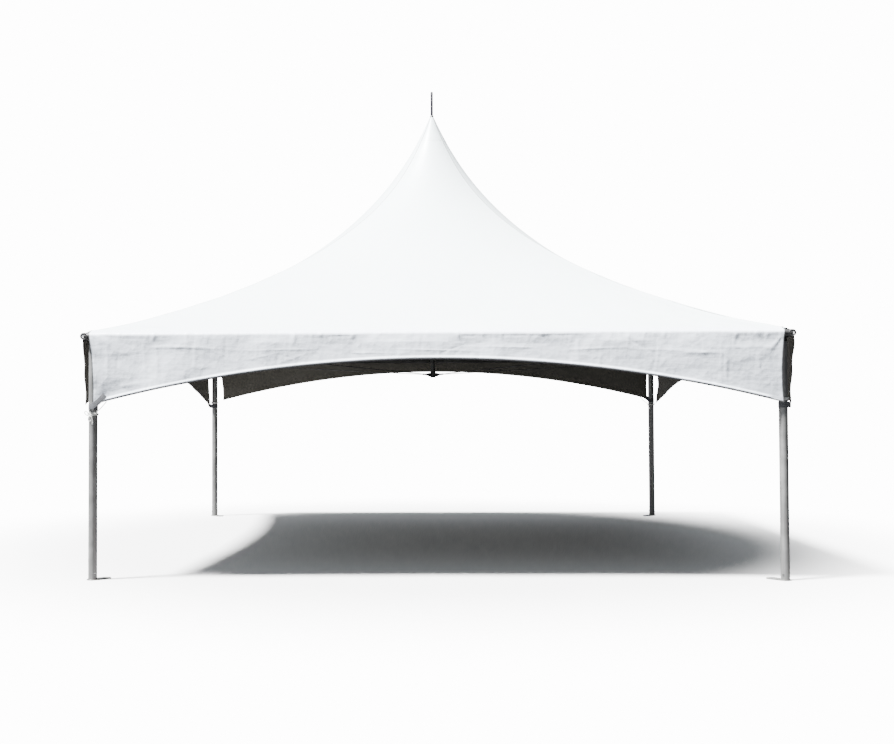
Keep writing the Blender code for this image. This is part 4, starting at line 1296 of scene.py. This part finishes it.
def bead(path, radius):
    """A round section whose radius swells once every few millimetres along the path."""
    around = np.arange(BEAD_SIDES) / BEAD_SIDES * math.tau
    circle = np.stack([radius * np.cos(around), radius * np.sin(around)], -1)
    swell = 1 + BEAD_SWELL * np.cos(lengths_along(path) * math.tau / BEAD_RIPPLE)
    ahead = unit(np.gradient(path, axis=0))
    side, lift = steady_frame(path, np.cross(ahead[0], [0.3, 0.5, 0.8]))
    return carry(path, side, lift, circle[None] * swell[:, None, None])


def saddle_weld(corner, butt_axis, open_axis):
    """Where two equal tubes meet square: R |cos t| along one, R cos t along the other, R sin t up."""
    t = np.linspace(0.0, math.tau, 121)[:, None]
    path = corner + RAIL_R * (np.abs(np.cos(t)) * butt_axis + np.cos(t) * open_axis + np.sin(t) * UP)
    return bead(evenly(path, 0.0015), 0.0022)


def post_weld():
    """The oval where a sleeve meets the post: post angle p, height +-sqrt(R^2 - (d - L cos p)^2)."""
    apart = RAIL_OUT - LEG_OUT
    widest = math.acos((apart - RAIL_R * 0.999) / LEG_R)
    p = widest * np.sin(np.linspace(-math.pi / 2, math.pi / 2, 25))
    rise = np.sqrt(np.maximum(RAIL_R ** 2 - (apart - LEG_R * np.cos(p)) ** 2, 0.0))
    x = LEG_CORNER[0] + LEG_R * np.sin(p)
    y = LEG_CORNER[1] - LEG_R * np.cos(p)
    lower = np.stack([x, y, RAIL_Z - rise], -1)
    return bead(evenly(lower, 0.0012), 0.0026)


def mirrored(made):
    """Across the corner's diagonal: x and y change places, and the faces turn round to match."""
    return made._replace(points=made.points[:, [1, 0, 2]], faces=made.faces[:, ::-1],
                         cut=made.cut[:, ::-1])


print("a saddle weld has", len(saddle_weld(LEG_CORNER, DIAGONAL, ACROSS).points), "points")

# %% [markdown]
# ## Bolts and buttons
# A bolt goes through each leg above and below, and a sprung button locks each sleeve in its rail.
# They are small, but an eye takes the size of the whole tent from them. A stock cylinder with six
# sides would do for a bolt's head. Turned from a profile it also gets a real one's chamfer.

# %% Bolts and buttons
def hexagon(across_flats, low, high):
    """A bolt head: six sides with a turned chamfer on top."""
    r = across_flats / math.sqrt(3)
    return turn([(0.0, low), (r, low), (r, high - 0.0012), (r * 0.9, high), (0.0, high)], 6)


def through_bolt(centre, axis, half_length, flats=0.017):
    """Head and washer on one side, washer, nut and bolt end on the other."""
    washer_r = flats * 0.62
    washer = [(0.0, 0.0), (washer_r, 0.0), (washer_r, 0.0014), (flats * 0.60, 0.0016), (0.0, 0.0016)]
    end = [(0.0, 0.0), (0.005, 0.0), (0.005, 0.0125), (0.0042, 0.0135), (0.0, 0.0135)]
    parts = []
    for sign in (1.0, -1.0):
        way = np.asarray(axis) * sign
        seat = np.asarray(centre) + way * half_length
        parts.append(placed(turn(washer, 24), seat, way))
        parts.append(placed(hexagon(flats, 0.0016, 0.0085), seat, way))
        if sign < 0:
            parts.append(placed(turn(end, 16), seat, way))
    return parts


def spring_button(centre, axis):
    """The domed button that locks one tube in another."""
    rise = np.radians(np.linspace(90, 0, 7))
    dome = np.stack([0.0048 * np.cos(rise), 0.001 + 0.0035 * np.sin(rise)], -1)
    return placed(turn([*dome, (0.0048, -0.002), (0.0, -0.002)], 20), centre, axis)


bolt_size = np.ptp(hexagon(0.017, 0.0016, 0.0085).points, axis=0)
print("a bolt's head is", [round(float(size) * 1000, 1) for size in bolt_size], "mm")

# %% [markdown]
# ## Corner fittings
# Each corner is a welded steel knot: two sleeves for the rails meet at the outer corner, a short
# post inside them takes the leg, and a lug holds the stay. The vinyl is notched there, so the open
# end of the sleeve that runs through shows as a dark ring, closed by a pale plug set back in the
# tube; that ring's darkness is painted shade, in the near-black steel and the plug's near-black lip.
# The other sleeve butts on it. Left and right corners differ in which sleeve runs through, so two
# knots are made, and quarter turns bring them to all four corners.

# %% Corner fittings
RAIL_END = 2.870
ARM_END = RAIL_OUT - RAIL_END
ARM_BORE = RAIL_SLEEVE_R - TUBE_WALL
BUTTON_PLACE = ARM_END + 0.045
PLUG_INSET = 0.004
PLUG_T = 0.003
POST_BEVEL = 0.003
LEG_BOLT_DROP = 0.07


def rail_arms(corner, open_axis, butt_axis):
    """For each rail a sleeve of the rail's own size, the inner tube that enters it, and its button."""
    parts = []
    for axis, start in ((open_axis, -RAIL_R), (butt_axis, 0.0)):
        arm = turn(pipe(RAIL_R, RAIL_R - ARM_BORE, start, ARM_END), loop=True)
        sleeve = turn(pipe(RAIL_SLEEVE_R, TUBE_WALL, 0.05, ARM_END + SPIGOT), loop=True)
        parts += [placed(arm, corner, axis), placed(sleeve, corner, axis),
                  spring_button(corner + axis * BUTTON_PLACE - UP * RAIL_R, -UP)]
    return parts


def end_plug(corner, open_axis):
    """A cap whose edge drops to a lip, set back in the sleeve's open end."""
    cap_r, lip_r = ARM_BORE - 0.001, ARM_BORE - 0.0002
    plug = turn([(0.0, PLUG_T), (cap_r, PLUG_T), (lip_r, 0.0022), (lip_r, -0.006), (0.0, -0.006)], 40)
    return placed(plug, corner - open_axis * (RAIL_R - PLUG_INSET - PLUG_T), -open_axis)


def leg_post():
    """A post as thick as the leg, closed on top, and the tube below it that enters the leg."""
    top = RAIL_Z + RAIL_R
    post = turn([(0.0, top), (LEG_R - POST_BEVEL, top), (LEG_R, top - POST_BEVEL),
                 (LEG_R, SHOULDER_Z + 0.001), (LEG_R - 0.001, SHOULDER_Z), (0.0, SHOULDER_Z)])
    sleeve = turn(pipe(LEG_SLEEVE_R, TUBE_WALL, SHOULDER_Z - SPIGOT, SHOULDER_Z), loop=True)
    return [placed(post, LEG_CORNER, UP), placed(sleeve, LEG_CORNER, UP)]


def lug_welds():
    """An upright bead on each side of the lug's root."""
    beads = []
    for side in (-1.0, 1.0):
        root = LEG_CORNER + DIAGONAL * (LEG_R + 0.001) + ACROSS * side * (LUG_T / 2 + 0.0008)
        low = root + UP * (RAIL_Z - CORNER_EYE_DROP - LUG_NOSE_R)
        beads.append(bead(evenly(np.stack([low, low + UP * 2 * LUG_NOSE_R]), 0.0012), 0.0024))
    return beads


def corner_knot(open_axis, butt_axis):
    """All parts of the front-left corner but the plug, which has a finish of its own."""
    corner = np.array([-RAIL_OUT, -RAIL_OUT, RAIL_Z])
    parts = [*rail_arms(corner, open_axis, butt_axis), saddle_weld(corner, butt_axis, open_axis),
             *leg_post(), lug(corner_eye, DIAGONAL, CORNER_EYE - LEG_R + TUBE_WALL), post_weld(),
             mirrored(post_weld()), *lug_welds(),
             *through_bolt(LEG_CORNER + UP * (SHOULDER_Z - LEG_BOLT_DROP), ACROSS, LEG_R)]
    return parts, end_plug(corner, open_axis)


AXES = np.eye(3)
knots = [corner_knot(AXES[1], AXES[0]), corner_knot(AXES[0], AXES[1])]
for k, corner in enumerate(CORNERS):
    knot_parts, plug = knots[k % 2]
    make_piece(f"corner_knot_{corner}", [quarter(part, k) for part in knot_parts], FITTING_STEEL,
               [f"corner_fitting_{corner}"])
    make_piece(f"tube_plug_{corner}", [quarter(plug, k)], PLUG)
print("corner knot", PIECES["corner_knot_front_left"], "triangles")

# %% [markdown]
# ## Base plates
# A flat plate with round ends, pointing at the middle of the tent, with a stake hole at its inner
# end and a short spigot welded on for the leg. An outline could be extruded and the hole cut out of
# it. Made about the stake hole, the plate has clean faces and a bevel inside and out: in each
# direction from the hole the edge is where a line meets a straight side or one of the round ends.

# %% Base plates
PLATE_T = 0.008
PLATE_R = 0.050
PLATE_INWARD = 0.122
STAKE_HOLE_R = 0.015
STAKE_HOLE_X = 0.118
PLATE_BEVEL = 0.0012
FOOT_SPIGOT = 0.080
FOOT_BOLT_LIFT = 0.048
FOOT_BOLT_FLATS = 0.013


def plate_outline(around):
    """Distance from the stake hole to the edge of two discs and the strip between them."""
    c, s = np.cos(around), np.sin(around)
    reaches = []
    for middle in (-STAKE_HOLE_X, PLATE_INWARD - STAKE_HOLE_X):
        inside = PLATE_R ** 2 - (middle * s) ** 2
        reaches.append(np.where(inside > 0, middle * c + np.sqrt(np.maximum(inside, 0)), 0.0))
    straight = PLATE_R / np.maximum(np.abs(s), 1e-9)
    foot = straight * c
    between = (foot >= -STAKE_HOLE_X) & (foot <= PLATE_INWARD - STAKE_HOLE_X)
    return np.where(between, straight, np.maximum(*reaches))


def base_plate():
    """The plate, the spigot on it, and the bolt that goes through leg and spigot."""
    plate = holed_plate(plate_outline, STAKE_HOLE_R, PLATE_T, PLATE_BEVEL, steps=144)
    hole_at = LEG_CORNER + DIAGONAL * STAKE_HOLE_X + UP * (PLATE_T / 2)
    flat = plate._replace(points=plate.points @ np.stack([DIAGONAL, ACROSS, UP]) + hole_at)
    spigot = turn(pipe(LEG_SLEEVE_R, TUBE_WALL, PLATE_T / 2, PLATE_T + FOOT_SPIGOT), loop=True)
    bolt = through_bolt(LEG_CORNER + UP * (PLATE_T + FOOT_BOLT_LIFT), ACROSS, LEG_R, FOOT_BOLT_FLATS)
    return [flat, placed(spigot, LEG_CORNER, UP), *bolt]


plate_parts = base_plate()
for k, corner in enumerate(CORNERS):
    make_piece(f"foot_plate_{corner}", [quarter(part, k) for part in plate_parts], PLATE_STEEL,
               [f"base_plate_{corner}"])
print("foot plate", PIECES["foot_plate_front_left"], "triangles")

# %% [markdown]
# ## Cords
# Wire and rope are both laid of strands, and both are a round section carried along a path, with a
# radius that changes round it and along it. A smooth tube with a bump would do from afar. Here the
# strands are real relief, so they also show on the outline, and one function serves both cords.

# %% Cords
WIRE_R = 0.004
WIRE_LAY = 0.085
ROPE_R = 0.004
ROPE_LAY = 0.022
ROPE_STRANDS = 4


def cord(path, radius, relief, sides):
    """Point = path + R relief(around, along) in each direction of a frame that doesn't spin."""
    around = (np.arange(sides) / sides * math.tau)[None]
    r = radius * relief(around, lengths_along(path)[:, None])
    side, lift = steady_frame(path, UP)
    section = np.stack([r * np.cos(around), r * np.sin(around)], -1)
    return carry(path, side, lift, section, width=math.tau * radius)


def stranded(around, along):
    """0.86 + 0.14 |cos(3a + k)|: six strands, and k grows with the distance."""
    return 0.86 + 0.14 * np.abs(np.cos(3 * around + math.tau * along / WIRE_LAY))


def braided(around, along):
    """0.92 + 0.08 max(cos(4a + k), cos(4a - k)), where k grows with the distance."""
    k = math.tau * along / ROPE_LAY
    return 0.92 + 0.08 * np.maximum(np.cos(ROPE_STRANDS * around + k), np.cos(ROPE_STRANDS * around - k))


print("one turn of a strand: wire", round(WIRE_LAY * 3, 3), "m, rope", ROPE_LAY * ROPE_STRANDS, "m")

# %% [markdown]
# ## Stays
# A stay is stranded wire between two fork ends. The fork is a flat bar bent into a U round the lug,
# with a pin through it and a swaged socket that grips the wire. Two plates and a block could stand
# for it, but a bar carried round one bend is what the maker bends too, and it has no hard joints.

# %% Stays
PIN_R = 0.005
CHEEK_T = 0.005
FORK_END = 0.040
FORK_HEIGHT = 0.022
SOCKET_R = 0.009
SOCKET_NECK_R = SOCKET_R - 0.0015
SOCKET_LENGTH = 0.060
SOCKET_GRIP = 0.012


def fork_bar(eye, along, across):
    """The flat bar: straight, half a circle round the lug's nose, and straight back."""
    middle = LUG_T / 2 + PLAY + CHEEK_T / 2
    bend = np.radians(np.linspace(90, -90, 13))
    back = FORK_END - CHEEK_T / 2 - middle
    straight = np.linspace(-FORK_HEIGHT / 2, back, 5)[:-1]
    xs = np.concatenate([straight, back + middle * np.cos(bend), straight[::-1]])
    ys = np.concatenate([np.full(4, middle), middle * np.sin(bend), np.full(4, -middle)])
    up = np.cross(along, across)
    path = eye + xs[:, None] * along + ys[:, None] * across
    side = unit(np.cross(unit(np.gradient(path, axis=0)), up))
    return carry(path, side, np.repeat(up[None], len(path), axis=0),
                 rounded_box(CHEEK_T, FORK_HEIGHT, 0.0012))


def fork_end(eye, along, across):
    """The fork, its pin with a head and a washer, and the socket, about the lug's hole."""
    half = LUG_T / 2 + PLAY + CHEEK_T
    head_r = PIN_R + 0.003
    pin = turn([(0.0, half + 0.004), (head_r - 0.001, half + 0.004), (head_r, half + 0.003),
                (head_r, half), (PIN_R, half), (PIN_R, -half - 0.007),
                (PIN_R - 0.001, -half - 0.008), (0.0, -half - 0.008)], 20)
    washer = turn([(PIN_R, 0.0), (PIN_R + 0.004, 0.0), (PIN_R + 0.004, 0.0015), (PIN_R, 0.0015)], 20,
                  loop=True)
    far = FORK_END + SOCKET_LENGTH
    socket = turn([(0.0, FORK_END - 0.004), (SOCKET_R - 0.001, FORK_END - 0.004),
                   (SOCKET_R, FORK_END - 0.002), (SOCKET_R, FORK_END + 0.010),
                   (SOCKET_NECK_R, FORK_END + 0.014), (SOCKET_NECK_R, far - 0.008),
                   (WIRE_R + 0.0015, far), (0.0, far)], 28)
    return [fork_bar(eye, along, across), placed(pin, eye, across),
            placed(washer, eye - across * half, -across), placed(socket, eye, along)]


def stay():
    """Wire from socket to socket, with a fork end at the corner's eye and one at the foot's."""
    along = unit(foot_eye - corner_eye)
    hold = FORK_END + SOCKET_LENGTH - SOCKET_GRIP
    wire = evenly(np.stack([corner_eye + along * hold, foot_eye - along * hold]), 0.0065)
    return [cord(wire, WIRE_R, stranded, 14), *fork_end(corner_eye, along, ACROSS),
            *fork_end(foot_eye, -along, -ACROSS)]


stay_parts = stay()
for k, corner in enumerate(CORNERS):
    make_piece(f"stay_{corner}", [quarter(part, k) for part in stay_parts], WIRE,
               [f"cable_{corner}"])
print("stay", PIECES["stay_front_left"], "triangles")

# %% [markdown]
# ## Corner straps
# A dark grey webbing strap is sewn to the low corner of each valance. It runs down past the
# valance's end and once round the leg. A thin plane with a thickness added could follow the same
# route. A flat section with rounded edges does it in one step, and rows of stitches hold it to the
# vinyl. Each stitch is a short carried section of its own, laid on the strap.

# %% Corner straps
STRAP_WIDTH = 0.050
STRAP_T = 0.0025
STRAP_WRAP_Z = 1.487
STRAP_CLEARANCE = 0.0024
STITCH_ROWS = (-0.019, -0.0063, 0.0063, 0.019)
STITCH_STARTS = np.arange(0.006, 0.055, 0.0055)
STITCH_LENGTH = 0.004


def round_leg(radius, start, end, z_start, z_end, count):
    """Points round the front-left leg, from one angle in degrees to another."""
    angle = np.radians(np.linspace(start, end, count))
    z = np.linspace(z_start, z_end, count)
    return LEG_CORNER + np.stack([radius * np.cos(angle), radius * np.sin(angle), z], -1)


def strap_route():
    """Down from the valance's corner, past its end, and once round the leg."""
    face = HALF - CORNER_LEAN + STRAP_CLEARANCE + STRAP_T / 2
    lead = smooth_path([(-2.830, -face - 0.017, 1.590), (-2.880, -face - 0.010, 1.540),
                        (-2.935, -face - 0.002, 1.500), (-2.975, -face + 0.012, STRAP_WRAP_Z)], 12)
    wrap = round_leg(LEG_R + GAP * 3 + STRAP_T / 2, -150, -430, STRAP_WRAP_Z, STRAP_WRAP_Z, 70)
    return smooth_path(evenly(np.concatenate([lead, wrap]), 0.012), 4)


def strap_and_stitches():
    """The strap stands upright along its route: its broad side is square to the way and level out."""
    route = strap_route()
    ahead = unit(np.gradient(route, axis=0))
    level = unit(ahead * np.array([1.0, 1.0, 0.0]))
    out = np.stack([-level[:, 1], level[:, 0], 0 * level[:, 0]], -1)
    broad = np.cross(ahead, out)
    out = np.cross(broad, ahead)
    band = carry(route, unit(broad), unit(out), rounded_box(STRAP_WIDTH, STRAP_T, 0.0011, 4),
                 2 * (STRAP_WIDTH + STRAP_T))
    at = lengths_along(route)
    stitches = []
    thread = rounded_box(0.0011, 0.0009, 0.0004, 2)
    for row in STITCH_ROWS:
        surface = route + broad * row - out * (STRAP_T / 2 + 0.0001)
        for start in STITCH_STARTS:
            spots = np.array([start, start + STITCH_LENGTH / 2, start + STITCH_LENGTH])
            line = np.stack([np.interp(spots, at, surface[:, k]) for k in range(3)], -1)
            near = np.searchsorted(at, spots)
            stitches.append(carry(line, unit(broad)[near], unit(out)[near], thread))
    return band, stitches, at[-1]


def to_corner(made, k):
    """To the corner k quarter turns on, and up where that side's hem hangs higher."""
    turned = quarter(made, k)
    return turned._replace(points=turned.points + UP * HEM_RISE.get(SIDES[k], 0.0))


strap_band, strap_stitches, strap_length = strap_and_stitches()
for k, corner in enumerate(CORNERS):
    make_piece(f"strap_{corner}", [to_corner(strap_band, k)], WEBBING,
               [f"corner_strap_{corner}"])
    make_piece(f"strap_stitches_{corner}", [to_corner(part, k) for part in strap_stitches], ROPE)
print("strap", round(strap_length, 3), "m long,", len(strap_stitches), "stitches")

# %% [markdown]
# ## Hem ties
# The rope that fills the hem comes out at each valance's end, droops to the leg, goes twice round
# it and ends in a loose bow. On the side valances it is tucked up behind the sheet instead, above
# the strap. A physics run could let it fall, but a knot would not tie itself, so its route is a
# handful of given points with a smooth curve through them, and the turns round the leg are
# worked out. Its braid follows the higher of two waves that wind round the rope in opposite
# directions, which draws the diamond pattern of a braid.

# %% Hem ties
ROPE_TOP_Z = 1.434
TUCKED_ROPE_TOP_Z = 1.544
HEM_END = (-2.820, -3.028)
ROPE_LEAD_IN = (0.030, -0.052, 0.004)
ROPE_TURNS = 2
ROPE_PITCH = 0.0090
TURN_STEPS = 10


def tie_route(coil_top_z, droop, tail):
    """From the hem's end through the points of the droop, twice round the leg, and out in a tail."""
    coil_r = (LEG_R + GAP + ROPE_R) / math.cos(math.pi / TURN_STEPS)
    hem = np.array([*HEM_END, float(low_edge(HEM_END[0] / LOW_HALF)) - ROPE_R - GAP])
    lead = [hem, *(np.array([x, y, hem[2] + z]) for x, y, z in droop),
            LEG_CORNER + UP * coil_top_z + np.array(ROPE_LEAD_IN)]
    coil = round_leg(coil_r, -90, -90 - 360 * ROPE_TURNS, coil_top_z,
                     coil_top_z - ROPE_PITCH * ROPE_TURNS, 24 * ROPE_TURNS + 1)
    return evenly(smooth_path(np.concatenate([lead, coil[1:], coil[-1] + np.array(tail)]), 8), 0.0024)


bow = [(-0.018, -0.005, 0.004), (-0.040, -0.006, 0.030), (-0.056, -0.006, 0.034), (-0.058, -0.006, 0.016),
       (-0.038, -0.009, 0.000), (-0.016, -0.013, -0.004), (-0.001, -0.015, -0.022),
       (-0.004, -0.015, -0.046), (-0.020, -0.015, -0.050), (-0.026, -0.016, -0.030),
       (-0.016, -0.021, -0.008), (0.004, -0.023, -0.014), (0.012, -0.021, -0.045), (0.010, -0.018, -0.080)]
drooping = tie_route(ROPE_TOP_Z, [(-2.850, -3.026, -0.034), (-2.885, -3.016, -0.068)], bow)
tucked = tie_route(TUCKED_ROPE_TOP_Z, [(-2.845, -3.016, -0.011), (-2.880, -3.006, 0.004)],
                   [(0.022, -0.007, -0.003), (0.050, -0.006, -0.009), (0.078, -0.008, -0.013)])
for k, corner in enumerate(CORNERS):
    made = cord((drooping, tucked)[k % 2], ROPE_R, braided, 16)
    make_piece(f"hem_tie_{corner}", [to_corner(made, k)], ROPE, [f"tie_rope_{corner}"], sharp=80.0)
    print(corner, "tie", round(made.cut[..., 1].max(), 3), "m of rope")

# %% [markdown]
# ## Floor and light
# A studio: a plain pale floor that runs out softly into a white background, a soft sky all round, and
# one large key light high on the left. A picture of a real sky could light it too, but a few formulas
# say where the light comes from. The key grazes the valance, which shows every crease. The floor
# throws little light back, so the right side of each tube stays in the shade.

# %% Floor
FLOOR_R = 6.6
FLOOR_SIDES = 64
FLOOR_FADE_START = 3.3
FLOOR_PALE = paint(0.62, 0.62, 0.62)
FLOOR_BOUNCE = paint(0.15, 0.15, 0.15)


def make_floor():
    """Rings round the middle, whose finish fades with the distance and bounces less than it shows."""
    rings = np.array([0.0, 2.2, 4.4, FLOOR_R])[:, None]
    around = (np.arange(FLOOR_SIDES) / FLOOR_SIDES * math.tau)[None]
    points = np.stack([rings * np.cos(around), rings * np.sin(around), 0 * rings * around], -1)
    down, across = grid_corners(len(rings), FLOOR_SIDES, True, False)
    faces = (down * FLOOR_SIDES + across % FLOOR_SIDES)[:, ::-1]
    mesh = bpy.data.meshes.new("floor")
    mesh.from_pydata(points.reshape(-1, 3).tolist(), [], faces.tolist())
    finish = Finish("pale_floor", roughness=0.9)
    tone = finish.noise(0.6, 2.0)
    seen = finish.node("ShaderNodeLightPath", {}, {}, "Is Camera Ray")
    finish.use("Base Color", finish.mix(seen * (1 - tone * 0.05), FLOOR_BOUNCE, FLOOR_PALE))
    distance = finish.node("ShaderNodeVectorMath", {"operation": "LENGTH"}, {0: finish.place}, "Value")
    finish.use("Alpha", finish.ease(distance, FLOOR_FADE_START, FLOOR_R, 1.0, 0.0))
    mesh.materials.append(finish.material)
    add_object("floor", mesh)
    print("floor", FLOOR_R * 2, "m across")


make_floor()

# %% Light
KEY_HEIGHT = math.radians(62)
KEY_AROUND = math.radians(22)
KEY_SOFTNESS = math.radians(9)
KEY_STRENGTH = 42.0
SKY_STRENGTH = 0.90
GROUND_GLOW = 0.60
SHADE_SIDE = 0.07
BACKDROP_STRENGTH = 14.0
SKY_BLUE = paint(0.89, 0.945, 1.0)
WHITE = paint(1.0, 1.0, 1.0)


def make_key():
    """The way to the light: around from the left towards the front, then up."""
    data = bpy.data.lights.new("key", "SUN")
    data.energy = KEY_STRENGTH
    data.angle = KEY_SOFTNESS
    key = add_object("key", data)
    towards = Vector((-math.cos(KEY_HEIGHT) * math.cos(KEY_AROUND),
                      -math.cos(KEY_HEIGHT) * math.sin(KEY_AROUND), math.sin(KEY_HEIGHT)))
    key.rotation_mode = "QUATERNION"
    key.rotation_quaternion = towards.to_track_quat("Z", "Y")


def make_surroundings():
    """Light = sky above or glow below, fading towards the right; the camera sees plain white."""
    world = bpy.data.worlds.new("studio")
    world.use_nodes = True
    graph = Graph(world.node_tree)
    x, _, z = graph.split(graph.node("ShaderNodeTexCoord", {}, {}, "Generated"))
    above = graph.ease(z, -0.03, 0.03)
    level = above * (SKY_STRENGTH * (0.5 + graph.ease(z, 0.0, 1.0))) + (1 - above) * GROUND_GLOW
    strength = level * graph.ease(x, -0.2, 0.8, 1.0, SHADE_SIDE)
    sky = graph.node("ShaderNodeBackground", {}, {"Color": SKY_BLUE, "Strength": strength})
    behind = graph.node("ShaderNodeBackground", {}, {"Color": WHITE, "Strength": BACKDROP_STRENGTH})
    seen = graph.node("ShaderNodeLightPath", {}, {}, "Is Camera Ray")
    chosen = graph.node("ShaderNodeMixShader", {}, {0: seen, 1: sky, 2: behind})
    graph.tree.links.new(chosen.socket, graph.tree.nodes["World Output"].inputs["Surface"])
    bpy.context.scene.world = world


make_key()
make_surroundings()
print("key", KEY_STRENGTH, "sky", SKY_STRENGTH, "backdrop", BACKDROP_STRENGTH)

print("triangles in all", sum(PIECES.values()), "in", len(PIECES), "pieces")
